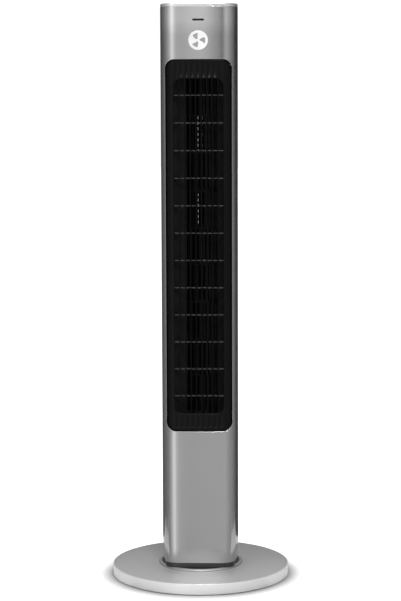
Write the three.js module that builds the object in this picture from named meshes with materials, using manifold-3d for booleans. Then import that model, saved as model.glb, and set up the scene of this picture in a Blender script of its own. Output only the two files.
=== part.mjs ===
// Oscillating tower fan: a tall casing on a round weighted base, with a cross-flow impeller inside.
// Millimetres, +Z up. The origin is on the floor at the swivel axis, and the front faces -Y.

import * as THREE from "three";
import { mergeVertices } from "three/addons/utils/BufferGeometryUtils.js";
import Module from "manifold-3d";

const wasm = await Module();
wasm.setup();

// ---- Driving dimensions ----

const degree = Math.PI / 180;
const gap = 0.3; // between pieces that touch in the real fan
const overallHeight = 1031;

// Casing section: a nearly flat front, round shoulders, flared side walls and a half-round back.
const bodyWidth = 138.4;
const frontReach = 62; // swivel axis to the foremost line of the casing
const frontRadius = 534;
const shoulderRadius = 24;
const wallFlare = 6.7 * degree;
const shellWall = 2.5;
const footTaper = 1.5; // the casing draws in by this much at its foot
const footTaperHeight = 40;

// Casing heights.
const capHeight = 5.4;
const headHeight = 91.4; // closed part of the front above the outlet
const columnHeight = 241.3; // closed column below the outlet
const neckHeight = 7.9; // black neck between the turntable and the casing
const seamUpperY = -2; // parting line of the two shells beside the outlet
const seamLowerY = 8; // parting line at the lower column
const seamStep = 50; // height over which the parting line moves

// Outlet grille.
const sideBorder = 10.5; // casing left on each side of the grille panel
const openingCorner = 16;
const panelSeam = 1.5;
const panelPlate = 2.5;
const rimWidth = 15.35;
const topBand = 33.9; // fluted band above the outlet
const bottomBand = 32.5; // fluted band below the outlet
const outletCorner = 14;
const ribPitch = 9.65;
const ribWidth = 2.4;
const ribDepth = 4.2;
const fluteDepth = 0.9;
const vanePitch = 48.6;
const vaneDepth = 13;
const vaneThickness = 1.6;
const vaneStrip = 2; // upright strip at each end of the vanes
const vaneSideGap = 1.2; // outlet edge to the strip
const vaneGap = 0.45; // behind the ribs

// Intake grille.
const intakeHalfAngle = 58 * degree;
const intakeBorder = 10; // height the intake stops short of the outlet opening at each end
const slotPitch = 10;
const slotHeight = 5.4;
const slotBar = 3; // upright bar between the two columns of slots
const slotEdge = 6; // plain margin beside the slots

// Finger recess for carrying, high on the back.
const carryWidth = 84;
const carryHeight = 36;
const carryRise = 14; // above the outlet opening
const carryDepth = 32;
const carryWall = 2.2;

// Case screws and their bosses.
const bossRadius = 4.5;
const lowerScrewRise = 67; // above the bottom of the shells
const upperScrewDrop = 25; // below the top of the shells

// Impeller and its duct.
const impellerX = 5;
const impellerY = 12;
const impellerRadius = 42;
const cellDisc = 2;
const bladeCount = 10;
const bladeChord = 8;
const bladeThickness = 1.2;
const bladeSlant = 28 * degree;
const cellsPerSection = 3;
const sectionCount = 3;
const ductClearance = 4.5;
const ductWall = 2;
const throatHalfWidth = 27.3;
const plateThickness = 3;
const shaftRadius = 4;

// Impeller motor.
const motorRadius = 43;
const motorHeight = 50;
const mountHeight = 5.7;

// Base.
const baseDiameter = 320;
const baseTop = 20.2;
const rimWall = 3;
const rimLift = 1;
const rimFillet = 1.2;
const footHeight = 2.5;
const ballastThickness = 3;
const coverThickness = 2.5;
const collarWidth = 6;
const collarHeight = 3.5;
const ballastInset = 12;
const footInset = 26; // rim to the circle of feet
const baseScrewInset = 60;
const glandRadius = 5.4;
const glandBore = 3.6;
const glandHeight = 10.5;

// Swivel and its gears.
const pivotRadius = 16;
const pivotWall = 3.5;
const gearModule = 1.25;
const gearTeeth = 48;
const pinionTeeth = 18;
const gearWidth = 6;
const gearBacklash = 0.3;
const pressureAngle = 20 * degree;
const neckFloor = 4;

// Controls.
const buttonRadius = 6;
const buttonPitch = 18;
const buttonTravel = 1;
const panelThickness = 3.6;
const slitWidth = 20.2;
const slitHeight = 3;
const slitDrop = 22.8; // below the top of the shells
const badgeRadius = 17;
const badgeDrop = 58.3;
const badgeThickness = 0.5;
const badgeBladeReach = 12.5;
const badgeBladeRoot = 2.6;
const capBorder = 8;
const buttonY = -14;

// ---- Sizes that follow ----

const bodyRadius = bodyWidth / 2;
const baseRadius = baseDiameter / 2;
const turntableTop = baseTop + 0.8 + 3;
const bodyBottom = turntableTop + neckHeight + gap;
const shellTop = overallHeight - capHeight - gap;
const openingWidth = bodyWidth - 2 * sideBorder;
const openingBottom = bodyBottom + columnHeight;
const openingTop = shellTop - headHeight;
const outletWidth = openingWidth - 2 * rimWidth;
const outletBottom = openingBottom + bottomBand;
const outletTop = openingTop - topBand;
const panelInset = shellWall + gap;
const ribBack = panelInset + ribDepth;
const ribCount = 2 * Math.floor((outletWidth / 2 - ribWidth) / ribPitch + 0.5);
const ribPlaces = Array.from({ length: ribCount }, (_, i) => (i - (ribCount - 1) / 2) * ribPitch);
const ribEdge = ribPlaces.at(-1) + ribWidth / 2;
const vaneStripInner = outletWidth / 2 + vaneSideGap;
const vaneStripOuter = vaneStripInner + vaneStrip;
// The vanes stand behind the outermost ribs, and their strips behind the panel, which curves back.
const vaneFrontY = vaneGap
  + Math.max(frontY(ribEdge, ribBack), frontY(vaneStripOuter, panelInset + panelPlate));
const vaneBackY = vaneFrontY + vaneDepth;
const motorPlateTop = outletBottom - 9;
const bearingPlateLow = outletTop + 6;
const impellerLow = motorPlateTop + 7;
const impellerHigh = bearingPlateLow - 5;
const cellHeight = (impellerHigh - impellerLow) / (cellsPerSection * sectionCount);
const motorTop = motorPlateTop - plateThickness - mountHeight;
const gearCentres = gearModule * (gearTeeth + pinionTeeth) / 2;
const neckFloorTop = turntableTop + neckFloor;
const gearLow = neckFloorTop + 1;
const gearHigh = gearLow + gearWidth;
const ledgeTop = shellTop + gap;

// ---- Finishes ----

function finish(color, roughness, metalness = 0) {
  return new THREE.MeshStandardMaterial({ color, roughness, metalness });
}

const silver = () => finish(0x9fa0a1, 0.38, 0.75);
const brightTrim = () => finish(0xdcdddd, 0.3, 0.6);
const satinGrey = () => finish(0xa4a5a6, 0.45, 0.5);
const blackPlastic = () => finish(0x161617, 0.5);
const glossBlack = () => finish(0x0b0b0c, 0.12);
const darkShell = () => finish(0x1d1d1f, 0.5);
const rubber = () => finish(0x1a1a1a, 0.9);
const steel = () => finish(0xb4b5b7, 0.32, 0.95);
const white = () => finish(0xf2f2f2, 0.5);
const boardGreen = () => finish(0x23402c, 0.6);
const nylon = () => finish(0xe4e2da, 0.55);

// ---- Solids ----

// Turns a closed three.js geometry into a solid with its faces pointing out.
function solid(geometry) {
  const bare = geometry.clone();
  bare.deleteAttribute("normal");
  bare.deleteAttribute("uv");
  const merged = mergeVertices(bare, 1e-4);
  const place = merged.attributes.position;
  const corners = merged.index.array;
  const kept = [];
  let volume = 0;
  const a = new THREE.Vector3();
  const b = new THREE.Vector3();
  const c = new THREE.Vector3();
  for (let i = 0; i < corners.length; i += 3) {
    const [p, q, r] = [corners[i], corners[i + 1], corners[i + 2]];
    if (p === q || q === r || r === p) continue;
    kept.push(p, q, r);
    a.fromBufferAttribute(place, p);
    b.fromBufferAttribute(place, q);
    c.fromBufferAttribute(place, r);
    volume += a.dot(b.cross(c));
  }
  if (volume < 0) kept.reverse();
  return new wasm.Manifold(new wasm.Mesh({
    numProp: 3,
    vertProperties: Float32Array.from(place.array),
    triVerts: Uint32Array.from(kept),
  }));
}

function joined(parts) {
  return parts.reduce((whole, part) => whole.add(part));
}

function arc(x, y, radius, from, to, steps) {
  return new THREE.EllipseCurve(x, y, radius, radius, from, to, from > to).getPoints(steps);
}

function extruded(outline, depth) {
  return new THREE.ExtrudeGeometry(new THREE.Shape(outline), { depth, bevelEnabled: false });
}

// An outline in plan, carried up from one height to another.
function prism(outline, low, high) {
  return solid(extruded(outline, high - low).translate(0, 0, low));
}

// An outline seen from the front (X across, Z up), carried back from one Y to another.
function frontPrism(outline, front, back) {
  return solid(extruded(outline, back - front).rotateX(Math.PI / 2).translate(0, back, 0));
}

// An outline seen from the side (Y across, Z up), carried across from one X to another.
function sidePrism(outline, left, right) {
  const turn = new THREE.Matrix4().makeBasis(
    new THREE.Vector3(0, 1, 0), new THREE.Vector3(0, 0, 1), new THREE.Vector3(1, 0, 0));
  return solid(extruded(outline, right - left).applyMatrix4(turn).translate(left, 0, 0));
}

function box(left, right, front, back, low, high) {
  const geometry = new THREE.BoxGeometry(right - left, back - front, high - low);
  return solid(geometry.translate((left + right) / 2, (front + back) / 2, (low + high) / 2));
}

function rod(x, y, radius, low, high, sides = 20) {
  const geometry = new THREE.CylinderGeometry(radius, radius, high - low, sides);
  return solid(geometry.rotateX(Math.PI / 2).translate(x, y, (low + high) / 2));
}

// A rod along Y.
function pin(x, z, radius, front, back, sides = 12) {
  const geometry = new THREE.CylinderGeometry(radius, radius, back - front, sides);
  return solid(geometry.translate(x, (front + back) / 2, z));
}

// A profile of [radius, height] points turned about the Z axis through x, y.
function turned(profile, sides, x = 0, y = 0) {
  const points = profile.map(([radius, height]) => new THREE.Vector2(radius, height));
  points.push(points[0].clone());
  return solid(new THREE.LatheGeometry(points, sides).rotateX(Math.PI / 2).translate(x, y, 0));
}

function tube(x, y, outer, inner, low, high, sides = 20) {
  return turned([[inner, low], [outer, low], [outer, high], [inner, high]], sides, x, y);
}

function roundedBox(width, low, high, radius) {
  const x = width / 2 - radius;
  const corner = (cx, cz, turn) => arc(cx, cz, radius, turn * Math.PI / 2, (turn + 1) * Math.PI / 2, 5);
  return [
    ...corner(x, high - radius, 0),
    ...corner(-x, high - radius, 1),
    ...corner(-x, low + radius, 2),
    ...corner(x, low + radius, 3),
  ];
}

// ---- Casing section ----

// Centres of the front arc (on the Y axis) and of the right shoulder, and where those two arcs meet.
function sectionCentres() {
  const centreY = frontRadius - frontReach;
  const reach = bodyRadius - shoulderRadius;
  const across = reach + centreY * Math.sin(wallFlare);
  const along = Math.sqrt((frontRadius - shoulderRadius) ** 2 - across ** 2) - centreY * Math.cos(wallFlare);
  const x = reach * Math.cos(wallFlare) - along * Math.sin(wallFlare);
  const y = -reach * Math.sin(wallFlare) - along * Math.cos(wallFlare);
  return { centreY, x, y, turn: Math.atan2(y - centreY, x) };
}

// Y of the front of the casing at x, once moved inwards by inset.
function frontY(x, inset) {
  const section = sectionCentres();
  const shoulder = shoulderRadius - inset;
  if (x > section.x + shoulder * Math.cos(section.turn)) {
    return section.y - Math.sqrt(shoulder ** 2 - (x - section.x) ** 2);
  }
  return section.centreY - Math.sqrt((frontRadius - inset) ** 2 - x ** 2);
}

// Outline of the casing in plan, moved inwards by inset all round. The arcs stay concentric.
function bodyOutline(inset) {
  const { centreY, x, y, turn } = sectionCentres();
  return [
    ...arc(0, 0, bodyRadius - inset, -wallFlare, Math.PI + wallFlare, 16),
    ...arc(-x, y, shoulderRadius - inset, Math.PI + wallFlare, Math.PI - turn, 6),
    ...arc(0, centreY, frontRadius - inset, Math.PI - turn, turn + 2 * Math.PI, 4).slice(1, -1),
    ...arc(x, y, shoulderRadius - inset, turn, -wallFlare, 6),
  ];
}

// A solid that follows the casing section and changes its inset from the bottom to the top.
function loft(lowInset, low, highInset, high) {
  const lower = bodyOutline(lowInset);
  const upper = bodyOutline(highInset);
  const geometry = extruded(lower, high - low);
  const place = geometry.attributes.position;
  for (let i = 0; i < place.count; i++) {
    if (place.getZ(i) < (high - low) / 2) continue;
    const match = lower.findIndex((p) => Math.hypot(p.x - place.getX(i), p.y - place.getY(i)) < 1e-3);
    place.setXY(i, upper[match].x, upper[match].y);
  }
  return solid(geometry.translate(0, 0, low));
}

// The casing's whole volume at an inset, with the taper at its foot.
function casing(inset, low, high) {
  const taperTop = bodyBottom + footTaperHeight;
  if (low >= taperTop) return prism(bodyOutline(inset), low, high);
  const drawn = footTaper * (taperTop - low) / footTaperHeight;
  return loft(inset + drawn, low, inset, taperTop).add(prism(bodyOutline(inset), taperTop, high));
}

// The space in front of the parting line, or behind it, with half the gap left at the line.
function besideSeam(forFront) {
  const offset = forFront ? -gap / 2 : gap / 2;
  const far = (forFront ? -2 : 2) * Math.max(bodyWidth, frontReach);
  const stepTop = openingBottom - 25;
  return sidePrism([
    new THREE.Vector2(far, 0),
    new THREE.Vector2(seamLowerY + offset, 0),
    new THREE.Vector2(seamLowerY + offset, stepTop - seamStep),
    new THREE.Vector2(seamUpperY + offset, stepTop),
    new THREE.Vector2(seamUpperY + offset, overallHeight + 50),
    new THREE.Vector2(far, overallHeight + 50),
  ], -bodyWidth, bodyWidth);
}

// ---- The object ----

const fan = new THREE.Group();

function add(name, body, material) {
  const mesh = body.getMesh();
  const geometry = new THREE.BufferGeometry();
  geometry.setAttribute("position", new THREE.BufferAttribute(Float32Array.from(mesh.vertProperties), 3));
  geometry.setIndex(new THREE.BufferAttribute(Uint32Array.from(mesh.triVerts), 1));
  const piece = new THREE.Mesh(geometry, material);
  piece.name = name;
  fan.add(piece);
}

// ---- Base ----

const ballastTop = footHeight + ballastThickness;
const ballastRadius = baseRadius - ballastInset;
const coverRadius = baseRadius - rimWall - gap;
const coverLow = baseTop - coverThickness;
const turntableLow = baseTop + 0.8;
const turntableRadius = bodyRadius + 0.5;
const glideOuter = turntableRadius - 9;
const glideInner = glideOuter - 8;
const footPlaces = [270, 342, 54, 126, 198].map((turn) => turn * degree);
const screwPlaces = [90, 210, 330].map((turn) => turn * degree);
const footCircle = baseRadius - footInset;
const screwCircle = baseRadius - baseScrewInset;

function baseCover() {
  const plate = turned([
    [pivotRadius + 0.6, coverLow], [coverRadius, coverLow], [coverRadius, baseTop],
    [glideOuter + gap, baseTop], [glideOuter + gap, baseTop - 1.2], [glideInner - gap, baseTop - 1.2],
    [glideInner - gap, baseTop], [pivotRadius + 0.6, baseTop],
  ], 48);
  const bosses = screwPlaces.map((turn) => {
    const [x, y] = [screwCircle * Math.cos(turn), screwCircle * Math.sin(turn)];
    return rod(x, y, 5, ballastTop + gap, coverLow + 0.5, 12).subtract(rod(x, y, 2.1, 0, coverLow, 8));
  });
  return joined([plate, ...bosses]);
}

function baseRim() {
  const inner = baseRadius - rimWall;
  const edge = arc(baseRadius - rimFillet, baseTop - rimFillet, rimFillet, 0, Math.PI / 2, 3)
    .map((p) => [p.x, p.y]);
  const ring = turned([
    [inner, rimLift], [baseRadius - 0.8, rimLift], [baseRadius, rimLift + 0.8], ...edge, [inner, baseTop],
  ], 48);
  return ring.subtract(pin(0, glandHeight, glandRadius + gap, baseRadius - 2 * rimWall, baseRadius + 5));
}

function ballast() {
  const plate = rod(0, 0, ballastRadius, footHeight, ballastTop, 48);
  const holes = [
    ...footPlaces.map((turn) => [footCircle, turn, 3.1]),
    ...screwPlaces.map((turn) => [screwCircle, turn, 2.2]),
  ].map(([circle, turn, radius]) => rod(circle * Math.cos(turn), circle * Math.sin(turn), radius, 0, 20, 8));
  return plate.subtract(joined([...holes, rod(0, 0, pivotRadius - pivotWall, 0, 20, 20)]));
}

function foot(turn) {
  const [x, y] = [footCircle * Math.cos(turn), footCircle * Math.sin(turn)];
  const pad = turned([[0, 0], [8, 0], [9, 0.8], [9, footHeight - gap], [0, footHeight - gap]], 16, x, y);
  return pad.add(rod(x, y, 2.8, 1, ballastTop + 1.5, 8));
}

function baseScrew(turn) {
  const [x, y] = [screwCircle * Math.cos(turn), screwCircle * Math.sin(turn)];
  return rod(x, y, 4, 0.9, footHeight - gap, 12).add(rod(x, y, 1.8, 1, coverLow - 3, 8));
}

function collarRing() {
  const inner = turntableRadius + 0.8;
  const outer = inner + collarWidth;
  const low = baseTop + gap;
  const high = low + collarHeight;
  return turned([
    [inner, low], [outer, low], [outer, low + 1.2], [outer - 1.2, high - 0.8],
    [outer - 2.6, high], [inner, high],
  ], 48);
}

function cordGland() {
  const inside = baseRadius - rimWall - gap;
  const sleeve = pin(0, glandHeight, glandRadius, inside - 4, baseRadius - 0.3);
  const flange = pin(0, glandHeight, glandRadius + 1.8, inside - 4, inside - 0.6);
  return sleeve.add(flange).subtract(pin(0, glandHeight, glandBore, inside - 10, baseRadius + 5));
}

add("base_cover", baseCover(), satinGrey());
add("base_rim", baseRim(), brightTrim());
add("ballast_plate", ballast(), steel());
footPlaces.forEach((turn, i) => add(`foot_${i + 1}`, foot(turn), rubber()));
screwPlaces.forEach((turn, i) => add(`base_screw_${i + 1}`, baseScrew(turn), steel()));
add("collar_ring", collarRing(), brightTrim());
add("cord_gland", cordGland(), rubber());
add("glide_ring", tube(0, 0, glideOuter, glideInner, baseTop - 1.2 + gap, turntableLow - gap, 32), nylon());

// ---- Swivel ----

// Radii between which a gear tooth stands.
function toothRadii(teeth) {
  const pitch = gearModule * teeth / 2;
  return { pitch, tip: pitch + 0.9 * gearModule, root: pitch - 1.2 * gearModule };
}

// One involute tooth centred on an angle, from its root on one side to its root on the other.
function tooth(teeth, centre) {
  const { pitch, tip, root } = toothRadii(teeth);
  const baseCircle = pitch * Math.cos(pressureAngle);
  const involute = (angle) => Math.tan(angle) - angle;
  const halfAtPitch = Math.PI / (2 * teeth) - gearBacklash / (4 * pitch);
  const halfAt = (r) => halfAtPitch + involute(pressureAngle) - involute(Math.acos(baseCircle / r));
  const start = Math.max(baseCircle, root) + 1e-3;
  const radii = [0, 0.5, 1].map((k) => start + (tip - start) * k);
  const point = (r, turn) => new THREE.Vector2(r * Math.cos(turn), r * Math.sin(turn));
  const rising = radii.map((r) => point(r, centre - halfAt(r)));
  const falling = radii.toReversed().map((r) => point(r, centre + halfAt(r)));
  const foot = halfAt(start);
  return [point(root, centre - foot), ...rising, ...falling, point(root, centre + foot)];
}

// The fixed gear has teeth only where the pinion reaches, at the back.
function fixedGear() {
  const toothed = 13;
  const step = 2 * Math.PI / gearTeeth;
  const first = Math.PI / 2 - step * (toothed - 1) / 2;
  const outline = [];
  for (let i = 0; i < toothed; i++) outline.push(...tooth(gearTeeth, first + step * i));
  const blankFrom = first + step * (toothed - 0.5);
  const blankTo = first - step / 2 + 2 * Math.PI;
  outline.push(...arc(0, 0, toothRadii(gearTeeth).root, blankFrom, blankTo, 16));
  const gear = prism(outline, gearLow, gearHigh);
  return gear.subtract(rod(0, 0, pivotRadius + gap, gearLow - 5, gearHigh + 5, 20));
}

function pinion() {
  const step = 2 * Math.PI / pinionTeeth;
  const outline = [];
  for (let i = 0; i < pinionTeeth; i++) outline.push(...tooth(pinionTeeth, -Math.PI / 2 + step * (i + 0.5)));
  const wheel = prism(outline, gearLow, gearHigh + 1).translate([0, gearCentres, 0]);
  return wheel.add(rod(0, gearCentres, 3, gearHigh, bracketHigh + 6, 12));
}

const clipLow = gearHigh + gap;
const pivotTop = clipLow + 4;
const bracketLow = gearHigh + 4;
const bracketHigh = bracketLow + 2;

function pivotTube() {
  const bore = pivotRadius - pivotWall;
  const low = ballastTop + gap;
  return turned([
    [bore, low], [pivotRadius + 16, low], [pivotRadius + 16, low + 3], [pivotRadius, low + 3],
    [pivotRadius, pivotTop], [bore, pivotTop],
  ], 24);
}

// The neck turns on the base: a round turntable, a floor, and a wall that follows the casing.
function neck() {
  const skirtInset = 2;
  const spigotInset = footTaper + shellWall + 2 * gap;
  const wall = 2.5;
  const spigotTop = bodyBottom + 11;
  const outside = joined([
    rod(0, 0, turntableRadius, turntableLow, turntableTop + 0.1, 48),
    prism(bodyOutline(skirtInset), turntableTop, bodyBottom - gap),
    prism(bodyOutline(spigotInset), bodyBottom - gap - 0.1, spigotTop),
  ]);
  const hollow = prism(bodyOutline(spigotInset + wall), neckFloorTop, spigotTop + 1);
  const posts = [-27, 27].map((x) => rod(x, gearCentres, 3.5, neckFloorTop - 0.5, bracketLow - gap, 12));
  const hole = rod(0, 0, pivotRadius + 4.3, turntableLow - 1, neckFloorTop + 1, 20);
  return joined([outside.subtract(hollow), ...posts]).subtract(hole);
}

function oscillationBracket() {
  const plate = box(-31, 31, gearCentres - 12, gearCentres + 10, bracketLow, bracketHigh);
  return plate.subtract(rod(0, gearCentres, 5, bracketLow - 1, bracketHigh + 1, 16));
}

function oscillationMotor() {
  const low = bracketHigh + gap;
  const body = rod(0, gearCentres, 18, low, low + 19, 24);
  const ears = box(-26, 26, gearCentres - 4, gearCentres + 4, low, low + 1.5);
  const bore = rod(0, gearCentres, 3.4, low - 1, low + 8, 12);
  return body.add(ears).subtract(bore);
}

add("neck", neck(), blackPlastic());
add("swivel_bush",
  tube(0, 0, pivotRadius + 4, pivotRadius + 0.4, turntableLow + 0.8, neckFloorTop + 0.4), nylon());
add("pivot_tube", pivotTube(), steel());
add("fixed_gear", fixedGear(), nylon());
add("retaining_clip", tube(0, 0, pivotRadius + 5, pivotRadius + gap, clipLow, clipLow + 1.2), steel());
add("pinion", pinion(), nylon());
add("oscillation_bracket", oscillationBracket(), steel());
add("oscillation_motor", oscillationMotor(), steel());

// ---- Shells ----

const screwX = bodyRadius - shellWall - 0.8 * bossRadius;
const screwHeights = [bodyBottom + lowerScrewRise, shellTop - upperScrewDrop];
const screwSides = [-1, 1];
const screwSeats = screwHeights.flatMap((z, row) => screwSides.map((side) => ({
  x: side * screwX, z, seam: row === 0 ? seamLowerY : seamUpperY,
})));

function frontShell() {
  const wall = casing(0, bodyBottom, shellTop).subtract(casing(shellWall, bodyBottom - 1, shellTop + 1));
  const opening = roundedBox(openingWidth, openingBottom, openingTop, openingCorner);
  const slitMid = shellTop - slitDrop;
  const slit = roundedBox(
    slitWidth + 2 * gap, slitMid - slitHeight / 2 - gap, slitMid + slitHeight / 2 + gap, slitHeight / 2);
  const bosses = screwSeats.map(({ x, z, seam }) => {
    const post = pin(x, z, bossRadius, seam - 14, seam - gap / 2).intersect(casing(1, bodyBottom, shellTop));
    return post.subtract(pin(x, z, 2, seam - 12, seam + 1, 8));
  });
  return joined([wall.intersect(besideSeam(true)), ...bosses])
    .subtract(frontPrism(opening, -frontReach - 10, -frontReach / 2))
    .subtract(frontPrism(slit, -frontReach - 10, -frontReach / 2));
}

const carryLow = openingTop + carryRise;
const carryFloorY = bodyRadius - carryDepth;

function rearShell() {
  const wall = casing(0, bodyBottom, shellTop).subtract(casing(shellWall, bodyBottom - 1, shellTop + 1));
  const intake = prism(intakeWedge(0), intakeLow, intakeHigh);
  const [low, high] = [carryLow, carryLow + carryHeight];
  const half = carryWidth / 2;
  const tub = box(-half - carryWall, half + carryWall, carryFloorY - carryWall, bodyRadius,
    low - carryWall, high + carryWall).intersect(casing(1, bodyBottom, shellTop));
  const bosses = screwSeats.map(({ x, z, seam }) => (
    pin(x, z, bossRadius, seam + gap / 2, bodyRadius).intersect(casing(0.5, bodyBottom, shellTop))));
  const holes = screwSeats.flatMap(({ x, z, seam }) => [
    pin(x, z, 2, seam - 1, seam + 12, 8),
    pin(x, z, 3.7, seam + 9, bodyRadius + 10),
  ]);
  return joined([wall.intersect(besideSeam(false)), tub, ...bosses])
    .subtract(box(-half, half, carryFloorY, bodyRadius + 10, low, high))
    .subtract(joined([intake, ...holes]));
}

function caseScrew({ x, z, seam }) {
  return pin(x, z, 3.3, seam + 9 + gap, seam + 11.7).add(pin(x, z, 1.65, seam - 10, seam + 10, 8));
}

// ---- Intake grille ----

const intakeLow = openingBottom + intakeBorder;
const intakeHigh = openingTop - intakeBorder;

// Plan wedge that the intake fills at the back, opened or closed by a margin at its two edges.
function intakeWedge(margin) {
  const far = 3 * bodyRadius;
  const edge = Math.PI / 2 - intakeHalfAngle + margin / bodyRadius;
  const right = new THREE.Vector2(far * Math.cos(edge), far * Math.sin(edge));
  return [new THREE.Vector2(0, 0), right, new THREE.Vector2(right.x, far),
    new THREE.Vector2(-right.x, far), new THREE.Vector2(-right.x, right.y)];
}

function rearGrille() {
  const edge = Math.PI / 2 - intakeHalfAngle + 0.4 / bodyRadius;
  const facets = 4;
  const band = [
    ...arc(0, 0, bodyRadius, edge, Math.PI - edge, facets),
    ...arc(0, 0, bodyRadius - shellWall, Math.PI - edge, edge, facets),
  ];
  const plate = prism(band, intakeLow + 0.4, intakeHigh - 0.4);
  const half = bodyRadius * Math.sin(intakeHalfAngle);
  const rows = Math.floor((intakeHigh - intakeLow - 12) / slotPitch);
  const first = (intakeLow + intakeHigh) / 2 - (rows - 1) * slotPitch / 2;
  const slots = [];
  for (let row = 0; row < rows; row++) {
    const z = first + row * slotPitch;
    for (const [from, to] of [[slotBar / 2, half - slotEdge], [slotEdge - half, -slotBar / 2]]) {
      slots.push(box(from, to, 0, bodyRadius + 5, z - slotHeight / 2, z + slotHeight / 2));
    }
  }
  return plate.subtract(joined(slots));
}

add("front_shell", frontShell(), silver());
add("rear_shell", rearShell(), darkShell());
add("rear_grille", rearGrille(), blackPlastic());
screwSeats.forEach((seat, i) => add(`case_screw_${i + 1}`, caseScrew(seat), steel()));

// ---- Outlet grille ----

function frontBand(outerInset, innerInset, low, high) {
  const shape = prism(bodyOutline(outerInset), low, high)
    .subtract(prism(bodyOutline(innerInset), low - 1, high + 1));
  return shape.intersect(box(-bodyWidth, bodyWidth, -frontReach - 5, -frontReach / 2, low, high));
}

function frontGrille() {
  const [low, high] = [openingBottom + panelSeam, openingTop - panelSeam];
  const edge = roundedBox(openingWidth - 2 * panelSeam, low, high, openingCorner - panelSeam);
  const outlet = roundedBox(outletWidth, outletBottom, outletTop, outletCorner);
  const deep = -frontReach / 2;
  const plate = frontBand(panelInset, panelInset + panelPlate, low - 1, high + 1)
    .intersect(frontPrism(edge, -frontReach - 5, deep))
    .subtract(frontPrism(outlet, -frontReach - 5, deep));
  const fluteEdges = [-outletWidth / 2, ...ribPlaces, outletWidth / 2];
  const flutes = fluteEdges.slice(1).flatMap((right, i) => {
    const [from, to] = [fluteEdges[i] + ribWidth / 2, right - ribWidth / 2];
    return [[low + 5, outletBottom - 2.5], [outletTop + 2.5, high - 3]].map(([bottom, top]) => (
      box(from, to, -frontReach, -frontReach / 2, bottom, top)));
  });
  const fluteBand = frontBand(panelInset - 1, panelInset + fluteDepth, low, high);
  const ribs = ribPlaces.map((x) => (
    box(x - ribWidth / 2, x + ribWidth / 2, -frontReach, deep, outletBottom - 1.5, outletTop + 1.5)));
  const ribBand = frontBand(panelInset, ribBack, low, high);
  return plate.subtract(joined(flutes).intersect(fluteBand)).add(joined(ribs).intersect(ribBand));
}

function vaneRack() {
  const count = Math.floor((outletTop - outletBottom) / vanePitch);
  const middle = (outletBottom + outletTop) / 2 + 0.9;
  const half = vaneStripInner + vaneStrip / 2;
  const strips = [-vaneStripOuter, vaneStripInner].map((left) => (
    box(left, left + vaneStrip, vaneFrontY, vaneBackY, outletBottom - 5, outletTop + 5)));
  const vanes = Array.from({ length: count }, (_, i) => {
    const z = middle + (i - (count - 1) / 2) * vanePitch;
    return box(-half, half, vaneFrontY, vaneBackY, z - vaneThickness / 2, z + vaneThickness / 2);
  });
  return joined([...strips, ...vanes]);
}

add("front_grille", frontGrille(), blackPlastic());
add("vane_rack", vaneRack(), blackPlastic());

// ---- Duct ----

const ductFrontY = vaneBackY + 0.6;
const ductInner = impellerRadius + ductClearance;
const ductOuter = ductInner + ductWall;
const ductSpan = [motorPlateTop + gap, bearingPlateLow - gap];

// A duct wall runs from the grille to the throat, then bends round the impeller.
function ductSide(hand, wrapEnd) {
  const throat = Math.asin(throatHalfWidth / ductInner);
  const from = -Math.PI / 2 + hand * throat;
  const outerThroat = -Math.PI / 2 + hand * Math.asin(throatHalfWidth / ductOuter);
  return prism([
    new THREE.Vector2(hand * vaneStripInner, ductFrontY),
    ...arc(impellerX, impellerY, ductInner, from, wrapEnd, 14),
    ...arc(impellerX, impellerY, ductOuter, wrapEnd, outerThroat + hand * 0.12, 14),
    new THREE.Vector2(hand * (vaneStripInner + ductWall), ductFrontY),
  ], ...ductSpan);
}

function endPlate(low, centreHole) {
  const plate = prism(bodyOutline(ribBack + 1), low, low + plateThickness);
  return plate.subtract(rod(impellerX, impellerY, centreHole, low - 1, low + plateThickness + 1, 20));
}

add("duct_guide", ductSide(1, 40 * degree), blackPlastic());
add("duct_tongue", ductSide(-1, -155 * degree), blackPlastic());
add("motor_plate", endPlate(motorPlateTop - plateThickness, 12), steel());
add("bearing_plate", endPlate(bearingPlateLow, 16), blackPlastic());
add("bearing_holder", tube(impellerX, impellerY, 16 - gap, 9.2, bearingPlateLow - 1.5,
  bearingPlateLow + plateThickness + 1.5), rubber());
add("top_bearing", tube(impellerX, impellerY, 8.9, shaftRadius + 0.35, bearingPlateLow - 2,
  bearingPlateLow + plateThickness + 2), steel());

// ---- Impeller ----

// One section of the impeller: discs at every cell, joined by slanted blades.
function impellerSection(index) {
  const low = impellerLow + index * cellsPerSection * cellHeight + (index > 0 ? gap : 0);
  const high = impellerLow + (index + 1) * cellsPerSection * cellHeight;
  const discs = [];
  for (let cell = 0; cell <= cellsPerSection; cell++) {
    const z = low + (high - low - cellDisc) * cell / cellsPerSection;
    const isEnd = (index === 0 && cell === 0) || (index === sectionCount - 1 && cell === cellsPerSection);
    const disc = rod(0, 0, impellerRadius, z, z + cellDisc, 20);
    discs.push(isEnd ? disc.subtract(rod(0, 0, shaftRadius + gap, z - 1, z + cellDisc + 1, 12)) : disc);
  }
  const blades = [];
  for (let i = 0; i < bladeCount; i++) {
    const blade = new THREE.BoxGeometry(bladeChord, bladeThickness, high - low - 1);
    blade.rotateZ(bladeSlant).translate(impellerRadius - bladeChord / 2 - 1.5, 0, (low + high) / 2);
    blades.push(solid(blade.rotateZ(2 * Math.PI * (i + 0.5) / bladeCount)));
  }
  return joined([...discs, ...blades]).translate([impellerX, impellerY, 0]);
}

["impeller_lower", "impeller_middle", "impeller_upper"].forEach((name, i) => {
  add(name, impellerSection(i), blackPlastic());
});
add("top_stub", rod(impellerX, impellerY, shaftRadius, impellerHigh - 8, bearingPlateLow + plateThickness + 1,
  16), steel());

// ---- Impeller motor ----

const motorLow = motorTop - motorHeight;

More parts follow.
